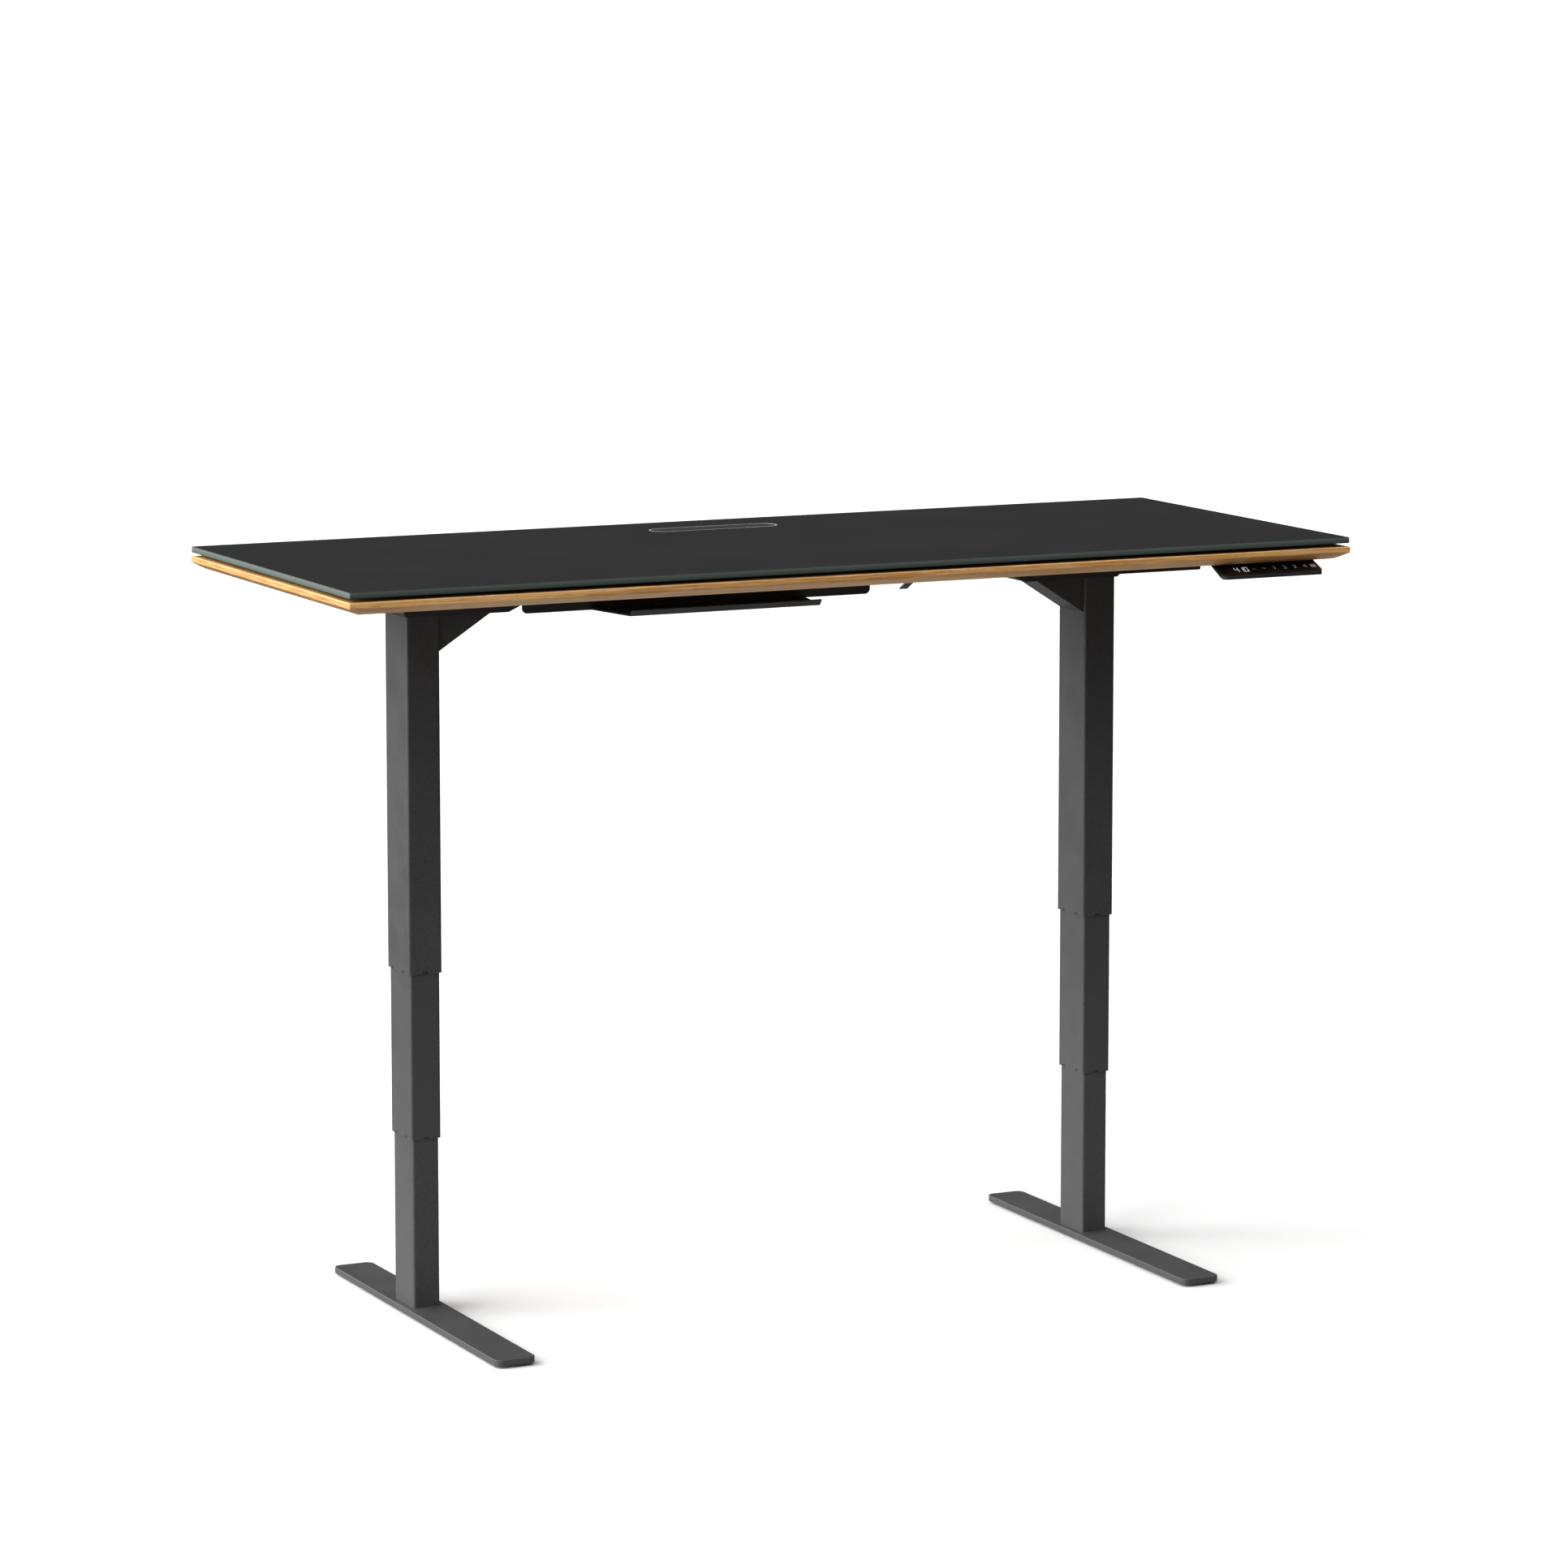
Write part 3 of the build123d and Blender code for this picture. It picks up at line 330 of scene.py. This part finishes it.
# Polypropylene glides: matt black, scuffed grey by the floor.
glide_finish, tree, shader = new_finish("moulded_polypropylene_black", roughness=0.6)
scuffs = noise(tree, 2.2, 5.0)
tree.links.new(blend_colours(tree, level(tree, scuffs, 0.5, 0.75), "#141414", "#3B3B3B"),
               shader.inputs["Base Color"])
relief(tree, shader, scuffs, 0.05)

# ---------------------------------------------------------------------------
# Frame under the panel. Folded steel heads with a gusset each, two side
# channels and two rails, all coated in the same charcoal. The heads, channels
# and rails get a darker copy of it: painted shade for the shadow they sit in.
# ---------------------------------------------------------------------------
# Painted shade: a darker copy of the charcoal coat for the parts in shadow under the panel.
shaded_frame_finish = powder_coat("powder_coated_steel_charcoal_painted_shade", "#171718", "#1F1F20", 0.55, 1.6)
apply_finish(shaded_frame_finish, "front_rail", "rear_rail")
for side in ("left", "right"):
    apply_finish(leg_finish, f"{side}_gusset")
    apply_finish(shaded_frame_finish, f"{side}_head", f"{side}_side_arms")

# ---------------------------------------------------------------------------
# Wood screws. Zinc plated pan heads with a cross recess, black passivated,
# turned up into the panel through the sheet parts.
# ---------------------------------------------------------------------------
# Black zinc: dark metal with a faint brown tint, and bright where the driver
# has rubbed it.
screw_finish, tree, shader = new_finish("black_zinc_plated_steel", metallic=1.0, roughness=0.36)
screw_wear = noise(tree, 1.5, 4.0)
tree.links.new(blend_colours(tree, level(tree, screw_wear, 0.55, 0.75), "#3A3836", "#8E8C88"),
               shader.inputs["Base Color"])
tree.links.new(level(tree, screw_wear, 0.3, 0.7, 0.28, 0.45), shader.inputs["Roughness"])
relief(tree, shader, noise(tree, 0.7, 1.0), 0.02)


def pick_faces(piece, test):
    """Selects the faces whose centre and normal pass a test, and stays in edit mode."""
    bpy.ops.object.mode_set(mode="EDIT")
    bpy.ops.mesh.select_mode(type="FACE")
    bpy.ops.mesh.select_all(action="DESELECT")
    bpy.ops.object.mode_set(mode="OBJECT")
    for face in piece.data.polygons:
        face.select = test(face.center, face.normal)
    bpy.ops.object.mode_set(mode="EDIT")


def only(piece):
    """Makes one piece the active and only selected one, in object mode."""
    if bpy.context.object and bpy.context.object.mode == "EDIT":
        bpy.ops.object.mode_set(mode="OBJECT")
    bpy.ops.object.select_all(action="DESELECT")
    bpy.context.view_layer.objects.active = piece
    piece.select_set(True)


def turned_blank(name, radius, low, high, sides=32):
    """An upright round blank on the Z axis."""
    bpy.ops.object.select_all(action="DESELECT")
    bpy.ops.mesh.primitive_cylinder_add(vertices=sides, radius=radius, depth=high - low,
                                        location=(0, 0, (low + high) / 2))
    blank = bpy.context.object
    blank.name = name
    bpy.ops.object.transform_apply(location=True)
    return blank


def cut_recess(piece, cutters):
    """Cuts a driver recess with each cutter in turn."""
    for cutter in cutters:
        only(piece)
        cut = piece.modifiers.new("recess", "BOOLEAN")
        cut.operation = "DIFFERENCE"
        cut.solver = "EXACT"
        cut.object = cutter
        bpy.ops.object.modifier_apply(modifier=cut.name)
        bpy.data.objects.remove(cutter)


def box_of_each(node, reach):
    """The lowest and highest corner of each small part in a CAD node, told apart by reach."""
    groups = []
    for vertex in nodes[node].data.vertices:
        point = vertex.co
        for group in groups:
            if (group[0].xy - point.xy).length < reach:
                group.append(point)
                break
        else:
            groups.append([point])
    return [(Vector(map(min, zip(*group))), Vector(map(max, zip(*group)))) for group in groups]


def foot_of_each(node, reach):
    """The middle of the lowest face of each small part in a CAD node."""
    return [Vector(((low.x + high.x) / 2, (low.y + high.y) / 2, low.z))
            for low, high in box_of_each(node, reach)]


def set_in_places(pattern, name, places):
    """Copies a pattern to each place, with its own mesh, and joins the copies as one piece."""
    copies = []
    for place in places:
        twin = pattern.copy()
        twin.data = pattern.data.copy()
        twin.data.transform(Matrix.Translation(place))
        bpy.context.scene.collection.objects.link(twin)
        copies.append(twin)
    only(copies[0])
    for twin in copies:
        twin.select_set(True)
    bpy.ops.object.join()
    joined = bpy.context.object
    joined.name = name
    bpy.ops.object.shade_smooth_by_angle(angle=math.radians(35))
    return joined


pan_radius = 0.005
pan_height = 0.003
pan_round = 0.0018
wood_shank_step = 0.0026
wood_shank_length = 0.012
tip_step = 0.0019
tip_length = 0.0018
cross_arm = (0.0052, 0.0011, 0.0036)
cross_taper = (0.35, 0.8, 1.0)
pan_reach = 3.2 * pan_radius
pan_screw = turned_blank("pan_screw_pattern", pan_radius, 0.0, pan_height)
pick_faces(pan_screw, lambda centre, normal: normal.z < -0.9)
bpy.ops.mesh.region_to_loop()
bpy.ops.mesh.bevel(offset=pan_round, segments=4, affect="EDGES")
pick_faces(pan_screw, lambda centre, normal: normal.z > 0.9)
bpy.ops.mesh.inset(thickness=wood_shank_step)
bpy.ops.mesh.extrude_region_move(TRANSFORM_OT_translate={"value": (0, 0, wood_shank_length)})
bpy.ops.mesh.inset(thickness=tip_step)
bpy.ops.transform.translate(value=(0, 0, tip_length))
bpy.ops.object.mode_set(mode="OBJECT")
cross = []
for turn in (0, 90):
    bpy.ops.object.select_all(action="DESELECT")
    bpy.ops.mesh.primitive_cube_add(size=1.0, scale=cross_arm)
    arm = bpy.context.object
    pick_faces(arm, lambda centre, normal: normal.z > 0.9)
    bpy.ops.transform.resize(value=cross_taper)
    bpy.ops.object.mode_set(mode="OBJECT")
    arm.rotation_euler.z = math.radians(turn)
    bpy.ops.object.transform_apply(rotation=True)
    cross.append(arm)
cut_recess(pan_screw, cross)
frame_screws = set_in_places(pan_screw, "cross_recess_screws",
                             foot_of_each("frame_screws", pan_reach))
bpy.data.objects.remove(pan_screw)
frame_screws.data.materials.clear()
frame_screws.data.materials.append(screw_finish)
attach(frame_screws, "worktop")
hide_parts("frame_screws")

# ---------------------------------------------------------------------------
# Foot screws. Two countersunk socket screws hold each foot to the plate in
# its inner tube. Their heads lie flush with the foot's underside.
# ---------------------------------------------------------------------------
head_radius = 0.0075
shank_radius = 0.004
foot_screw_length = 0.017
head_rim = 0.0004
head_cone = head_radius - shank_radius
neck_share = shank_radius / head_radius
end_length = 0.0006
end_share = 0.85
key_radius = 0.0029
key_depth = 0.0028
key_overrun = 0.001
key_taper = 0.9
foot_screw = turned_blank("foot_screw_pattern", head_radius, 0.0, head_rim)
pick_faces(foot_screw, lambda centre, normal: normal.z > 0.9)
bpy.ops.mesh.extrude_region_move(TRANSFORM_OT_translate={"value": (0, 0, head_cone)})
bpy.ops.transform.resize(value=(neck_share, neck_share, 1.0))
foot_shank = foot_screw_length - head_rim - head_cone - end_length
bpy.ops.mesh.extrude_region_move(TRANSFORM_OT_translate={"value": (0, 0, foot_shank)})
bpy.ops.mesh.extrude_region_move(TRANSFORM_OT_translate={"value": (0, 0, end_length)})
bpy.ops.transform.resize(value=(end_share, end_share, 1.0))
bpy.ops.object.mode_set(mode="OBJECT")
key_hole = turned_blank("hex_key_hole", key_radius, -key_overrun, key_depth, 6)
pick_faces(key_hole, lambda centre, normal: normal.z > 0.9)
bpy.ops.transform.resize(value=(key_taper, key_taper, 1.0))
bpy.ops.object.mode_set(mode="OBJECT")
cut_recess(foot_screw, [key_hole])
for side in ("left", "right"):
    held = set_in_places(foot_screw, f"{side}_socket_screws",
                         foot_of_each(f"{side}_foot_screws", 3 * head_radius))
    held.data.materials.clear()
    held.data.materials.append(screw_finish)
    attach(held, f"{side}_base")
    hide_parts(f"{side}_foot_screws")
bpy.data.objects.remove(foot_screw)

# ---------------------------------------------------------------------------
# Glides. Moulded pads on a short stud near each end of a foot. The rim is
# fluted so that fingers can turn it, and the sole is slightly dished.
# ---------------------------------------------------------------------------
pad_radius = 0.013
pad_height = 0.003
pad_sides = 48
pad_round = 0.0006
flute_margin = 0.0002
flute_depth = 0.0004
sole_margin = 0.003
sole_dish = 0.0005
stud_step = 0.009
stud_height = 0.0069
near = 0.00001
glide = turned_blank("glide_pattern", pad_radius, 0.0, pad_height, pad_sides)
pick_faces(glide, lambda centre, normal: normal.z < -0.9)
bpy.ops.mesh.region_to_loop()
bpy.ops.mesh.bevel(offset=pad_round, segments=2, affect="EDGES")
pick_faces(glide, lambda centre, normal: abs(normal.z) < 0.1
           and math.floor(math.atan2(centre.y, centre.x) / math.tau * pad_sides) % 2 == 0)
bpy.ops.mesh.inset(thickness=flute_margin, depth=-flute_depth, use_individual=True)
pick_faces(glide, lambda centre, normal: centre.z < near)
bpy.ops.mesh.inset(thickness=sole_margin)
bpy.ops.mesh.extrude_region_move(TRANSFORM_OT_translate={"value": (0, 0, sole_dish)})
pick_faces(glide, lambda centre, normal: centre.z > pad_height - near)
bpy.ops.mesh.inset(thickness=stud_step)
bpy.ops.mesh.extrude_region_move(TRANSFORM_OT_translate={"value": (0, 0, stud_height)})
bpy.ops.object.mode_set(mode="OBJECT")
for side in ("left", "right"):
    pads = set_in_places(glide, f"{side}_fluted_glides",
                         foot_of_each(f"{side}_levellers", 3 * pad_radius))
    pads.data.materials.clear()
    pads.data.materials.append(glide_finish)
    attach(pads, f"{side}_base")
    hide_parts(f"{side}_levellers")
bpy.data.objects.remove(glide)

# ---------------------------------------------------------------------------
# Drive. A gear motor in each head, two steel spindles in line and the nut
# blocks that they turn in. Only seen when a leg is opened.
# ---------------------------------------------------------------------------
# Zinc plated steel: pale grey with a faint spangle about 4 mm across.
motor_finish, tree, shader = new_finish("zinc_plated_steel", metallic=1.0, roughness=0.4)
spangle = noise(tree, 4.0, 1.0)
tree.links.new(blend_colours(tree, spangle, "#8E9092", "#A9ABAD"), shader.inputs["Base Color"])
tree.links.new(level(tree, spangle, 0.3, 0.7, 0.3, 0.5), shader.inputs["Roughness"])
relief(tree, shader, noise(tree, 1.0, 2.0), 0.02)

# Rolled spindle steel: bright and oiled, with an acme thread of 4 mm pitch. The thread roots are painted
# darker as shade, the crests lighter.
spindle_finish, tree, shader = new_finish("rolled_spindle_steel", metallic=1.0, roughness=0.25)
height = add_node(tree, "ShaderNodeSeparateXYZ", inputs={0: place_on(tree)}).outputs[2]
thread_pitch = 0.004
thread_height_and_root_shade = calculate(tree, "PINGPONG", height, thread_pitch / 2)
oil = noise(tree, 9.0, 3.0)
# Painted shade: the thread roots darker, the crests lighter.
tree.links.new(blend_colours(tree, level(tree, thread_height_and_root_shade, 0.0005, 0.0012), "#6C6D6E", "#C4C5C6"),
               shader.inputs["Base Color"])
tree.links.new(level(tree, oil, 0.35, 0.65, 0.18, 0.34), shader.inputs["Roughness"])
relief(tree, shader, level(tree, thread_height_and_root_shade, 0.0004, 0.0014), 0.8, 0.8)

# Natural acetal nut blocks: off-white and waxy, greyed by grease.
nut_finish, tree, shader = new_finish("machined_acetal_natural", roughness=0.45, ior=1.48)
grease = noise(tree, 7.0, 4.0)
tree.links.new(blend_colours(tree, level(tree, grease, 0.4, 0.75), "#DEDBD2", "#A9A598"),
               shader.inputs["Base Color"])
relief(tree, shader, noise(tree, 1.0, 2.0, (1, 1, 0.3)), 0.03)
for side in ("left", "right"):
    apply_finish(motor_finish, f"{side}_gear_motor")
    apply_finish(spindle_finish, f"{side}_drive_spindle", f"{side}_hollow_spindle")
    apply_finish(nut_finish, f"{side}_middle_nut", f"{side}_inner_nut")

# ---------------------------------------------------------------------------
# Cable tray and hooks. Folded from 2 mm mild steel sheet and powder coated a
# matt black, then screwed to the panel behind the frame.
# ---------------------------------------------------------------------------
tray_finish = powder_coat("powder_coated_sheet_black", "#141415", "#1D1D1E", 0.55, 1.2)
apply_finish(tray_finish, "cable_tray", "cable_hooks")

# ---------------------------------------------------------------------------
# Control box. Two black moulded shells that hold the power board, screwed up
# under the panel beside the right leg, with a row of sockets at the back.
# ---------------------------------------------------------------------------
# Flame retardant ABS with a coarse spark-eroded texture of about 1 mm.
case_finish, tree, shader = new_finish("moulded_abs_textured_black", roughness=0.5, ior=1.46)
case_grain = noise(tree, 1.1, 3.0)
tree.links.new(blend_colours(tree, case_grain, "#161616", "#202020"), shader.inputs["Base Color"])
tree.links.new(level(tree, noise(tree, 40, 2.0), 0.3, 0.7, 0.45, 0.58), shader.inputs["Roughness"])
relief(tree, shader, case_grain, 0.08)
apply_finish(case_finish, "control_box_case", "control_box_lid", "control_sockets")

# Glass-epoxy board: green solder mask over a diagonal weave about 3 mm apart.
board_finish, tree, shader = new_finish("solder_masked_circuit_board", roughness=0.35)
weave = add_node(tree, "ShaderNodeTexWave", {"wave_type": "BANDS", "bands_direction": "DIAGONAL"},
                 {"Vector": place_on(tree), "Scale": 160.0, "Distortion": 1.5}).outputs[1]
tree.links.new(blend_colours(tree, weave, "#12402A", "#1D5A3A"), shader.inputs["Base Color"])
relief(tree, shader, weave, 0.03)
apply_finish(board_finish, "control_board")

# ---------------------------------------------------------------------------
# Keypad. A black moulded case under the front edge, with a sloping gloss
# panel that carries a display window and six keys.
# ---------------------------------------------------------------------------
apply_finish(case_finish, "keypad_case")

# Gloss black polycarbonate film: clear reflections and a few hairlines.
panel_finish, tree, shader = new_finish("gloss_polycarbonate_black", roughness=0.16, ior=1.58)
shader.inputs["Specular IOR Level"].default_value = 0.35
hairlines = noise(tree, 0.7, 2.0, (25, 1, 1))
smears = noise(tree, 12.0, 3.0)
tree.links.new(blend_colours(tree, hairlines, "#0B0B0C", "#121213"), shader.inputs["Base Color"])
tree.links.new(level(tree, smears, 0.35, 0.7, 0.12, 0.26), shader.inputs["Roughness"])
relief(tree, shader, hairlines, 0.004, 0.2)
apply_finish(panel_finish, "keypad_face", "key_up", "key_down",
             "key_memory_1", "key_memory_2", "key_memory_3", "key_memory_4")

# Smoked display window: darker and smoother than the film around it.
window_finish, tree, shader = new_finish("smoked_acrylic_window", roughness=0.07, ior=1.49)
tree.links.new(blend_colours(tree, noise(tree, 5.0, 2.0), "#060607", "#0B0C0D"),
               shader.inputs["Base Color"])
tree.links.new(level(tree, noise(tree, 15.0, 3.0), 0.35, 0.7, 0.05, 0.12), shader.inputs["Roughness"])
apply_finish(window_finish, "display_window")

# ---------------------------------------------------------------------------
# Display figures. A seven segment height reading behind the smoked window,
# each figure of thin lit bars that lean a little to the right.
# ---------------------------------------------------------------------------
press = next(joint for joint in frame["joints"] if joint["name"] == "key_up_press")
out_of_panel = -Vector(press["axis"]).normalized()
up_panel = Vector((0.0, out_of_panel.z, -out_of_panel.y))
across_panel = Vector((1.0, 0.0, 0.0))


def panel_frame(node, thickness):
    """The frame of a flat part in the sloping panel, at the middle of its outer face."""
    low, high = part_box(node)
    middle = (low + high) / 2 + out_of_panel * thickness / 2
    turn = Matrix((across_panel, up_panel, out_of_panel)).transposed().to_4x4()
    return Matrix.Translation(middle) @ turn


def lay_on_panel(parts, name, place, finish, body):
    """Joins flat marks, sets them on the panel and makes them ride with a body."""
    only(parts[0])
    for part in parts:
        part.select_set(True)
    bpy.ops.object.join()
    marks = bpy.context.object
    marks.name = name
    marks.data.transform(place)
    marks.data.materials.clear()
    marks.data.materials.append(finish)
    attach(marks, body)
    return marks


mark_low = -0.00002
mark_high = 0.00006


def mark_bar(start, end, width, pointed=True):
    """A thin raised bar between two points of the panel, with pointed or square ends."""
    run = Vector(end) - Vector(start)
    bpy.ops.object.select_all(action="DESELECT")
    bpy.ops.mesh.primitive_cube_add(size=1.0, scale=(run.length, width, mark_high - mark_low))
    bar = bpy.context.object
    bpy.ops.object.transform_apply(scale=True)
    if pointed:
        pick_faces(bar, lambda centre, normal: abs(normal.x) > 0.9)
        bpy.ops.mesh.inset(thickness=0.0)
        bpy.ops.mesh.subdivide(number_cuts=1)
        bpy.ops.object.mode_set(mode="OBJECT")
        for vertex in bar.data.vertices:
            on_line = 1 - abs(vertex.co.y) / (width / 2)
            vertex.co.x += math.copysign(on_line * width / 2 - width / 4, vertex.co.x)
    middle = (Vector(start) + Vector(end)) / 2
    turn = Matrix.Rotation(math.atan2(run.y, run.x), 4, "Z")
    shift = Matrix.Translation((middle.x, middle.y, (mark_low + mark_high) / 2))
    bar.data.transform(shift @ turn)
    return bar


# Light-emitting segments: an even cool white that lights nothing around it.
segment_finish, tree, shader = new_finish("lit_display_segments", roughness=0.5)
segment_tone = blend_colours(tree, noise(tree, 2.0, 1.0), "#C9D2D6", "#DCE3E6")
tree.links.new(segment_tone, shader.inputs["Base Color"])
tree.links.new(segment_tone, shader.inputs["Emission Color"])
shader.inputs["Emission Strength"].default_value = 0.55

figure_width = 0.0052
figure_height = 0.0112
figure_pitch = 0.0078
segment_width = 0.0011
point_past_figure = 1.27
lean = 0.08
corner_of = {"a": ((0, 1), (1, 1)), "b": ((1, 0.5), (1, 1)), "c": ((1, 0), (1, 0.5)),
             "d": ((0, 0), (1, 0)), "e": ((0, 0), (0, 0.5)), "f": ((0, 0.5), (0, 1)),
             "g": ((0, 0.5), (1, 0.5))}
lit_segments = {"4": "bcfg", "1": "bc", "0": "abcdef"}


def on_figure(column, corner):
    """A figure's corner on the display, with the lean."""
    rise = (corner[1] - 0.5) * figure_height
    return ((column - 1) * figure_pitch + (corner[0] - 0.5) * figure_width + lean * rise, rise, 0.0)


segments = []
for column, figure in enumerate("410"):
    for letter in lit_segments[figure]:
        start, end = corner_of[letter]
        segments.append(mark_bar(on_figure(column, start), on_figure(column, end), segment_width))
point_place = on_figure(1, (point_past_figure, 0.0))
segments.append(mark_bar(point_place, (point_place[0] + segment_width, point_place[1], 0.0),
                         segment_width, pointed=False))
display_thickness = 0.00096
lay_on_panel(segments, "display_figures", panel_frame("display_window", display_thickness),
             segment_finish, "worktop")

# ---------------------------------------------------------------------------
# Key marks. Two arrows for up and down in bronze ink and the numbers 1 to 4 in
# pale grey, screen printed. A plain pale block stands beyond the last key.
# ---------------------------------------------------------------------------
# Screen ink: matt and opaque, with the faint mesh of the screen.
ink_finish, tree, shader = new_finish("screen_printed_ink_grey", roughness=0.6)
mesh_marks = noise(tree, 0.5, 1.0)
tree.links.new(blend_colours(tree, mesh_marks, "#A9A9A6", "#C6C6C2"), shader.inputs["Base Color"])
warm_finish, tree, shader = new_finish("screen_printed_ink_bronze", roughness=0.6)
mesh_marks = noise(tree, 0.5, 1.0)
tree.links.new(blend_colours(tree, mesh_marks, "#8C7458", "#A58B6C"), shader.inputs["Base Color"])

key_thickness = 0.0014
arrow_reach = 0.0028
arrow_rise = 0.0018
arrow_stroke = 0.0010
for key, way in (("key_up", 1), ("key_down", -1)):
    tip = (0.0, way * arrow_rise, 0.0)
    strokes = [mark_bar((sign * arrow_reach, -way * arrow_rise, 0.0), tip, arrow_stroke)
               for sign in (-1, 1)]
    lay_on_panel(strokes, f"{key}_arrow", panel_frame(key, key_thickness), warm_finish,
                 f"{key}_cap")

number_height = 0.0125
for number in "1234":
    bpy.ops.object.select_all(action="DESELECT")
    bpy.ops.object.text_add()
    figure = bpy.context.object
    figure.data.body = number
    figure.data.size = number_height
    figure.data.align_x = "CENTER"
    figure.data.align_y = "CENTER"
    figure.data.extrude = (mark_high - mark_low) / 2
    bpy.ops.object.convert(target="MESH")
    figure = bpy.context.object
    figure.data.transform(Matrix.Translation((0, 0, (mark_low + mark_high) / 2)))
    key = f"key_memory_{number}"
    lay_on_panel([figure], f"{key}_number", panel_frame(key, key_thickness), ink_finish,
                 f"{key}_cap")

block_length = 0.0095
block_rise = 0.0090
block_round = 0.0006
block_past_key = 0.0136
block = mark_bar((block_past_key - block_length / 2, 0.0, 0.0),
                 (block_past_key + block_length / 2, 0.0, 0.0), block_rise, pointed=False)
pick_faces(block, lambda centre, normal: normal.z > 0.9)
bpy.ops.mesh.bevel(offset=block_round, segments=3, affect="EDGES")
bpy.ops.object.mode_set(mode="OBJECT")
face_top = panel_frame("key_memory_4", key_thickness)
lay_on_panel([block], "keypad_pale_block", face_top, ink_finish, "worktop")

# ---------------------------------------------------------------------------
# Studio. A plain pale floor and a soft white room that is brighter overhead
# and at the left than in front.
# ---------------------------------------------------------------------------
floor_size = 240.0
floor_gap = 0.0003
bpy.ops.mesh.primitive_plane_add(size=floor_size, location=(0.0, 0.0, -floor_gap))
studio_floor = bpy.context.object
studio_floor.name = "studio_floor"
floor_finish, tree, shader = new_finish("pale_studio_floor", roughness=0.9)
shader.inputs["Specular IOR Level"].default_value = 0.0
seen = add_node(tree, "ShaderNodeLightPath").outputs["Is Camera Ray"]
from_middle = add_node(tree, "ShaderNodeVectorMath", {"operation": "LENGTH"},
                       {0: place_on(tree)}).outputs["Value"]
bounce = blend_colours(tree, level(tree, from_middle, 0.6, 3.0), "#A4A4A4", "#303030")
tree.links.new(blend_colours(tree, seen, bounce, "#D4D4D4"), shader.inputs["Base Color"])
underneath = add_node(tree, "ShaderNodeNewGeometry").outputs["Backfacing"]
clear = add_node(tree, "ShaderNodeBsdfTransparent")
either = add_node(tree, "ShaderNodeMixShader",
                  inputs={0: underneath, 1: shader.outputs[0], 2: clear.outputs[0]})
tree.links.new(either.outputs[0], tree.nodes["Material Output"].inputs["Surface"])
studio_floor.data.materials.append(floor_finish)

room = bpy.data.worlds.new("studio_room")
bpy.context.scene.world = room
room.use_nodes = True
tree = room.node_tree
tree.nodes.clear()
aim = add_node(tree, "ShaderNodeTexCoord").outputs["Generated"]


def soft_panel(direction, narrow, wide, strength):
    """A soft bright patch of the room, in one direction."""
    facing_it = add_node(tree, "ShaderNodeVectorMath", {"operation": "DOT_PRODUCT"},
                         {0: aim, 1: Vector(direction).normalized()}).outputs["Value"]
    edge, core = math.cos(math.radians(wide)), math.cos(math.radians(narrow))
    return level(tree, facing_it, edge, core, 0.0, strength)


overhead = soft_panel((-0.1, -0.1, 1.0), 20, 75, 1.5)
left_rear = soft_panel((-0.80, 0.75, 0.1), 10, 58, 3.4)
left_side = soft_panel((-1.0, -0.05, 0.30), 20, 50, 5.8)
all_round = 0.04
total = calculate(tree, "ADD", calculate(tree, "ADD", overhead, left_rear),
                  calculate(tree, "ADD", left_side, all_round))
seen = add_node(tree, "ShaderNodeLightPath").outputs["Is Camera Ray"]
strength = add_node(tree, "ShaderNodeMix", {"data_type": "FLOAT"}, {0: seen, 2: total, 3: 1.0}).outputs[0]
glow = add_node(tree, "ShaderNodeBackground", inputs={"Color": (1, 1, 1, 1), "Strength": strength})
add_node(tree, "ShaderNodeOutputWorld", inputs={"Surface": glow.outputs[0]})
bpy.context.scene.view_settings.view_transform = "Standard"
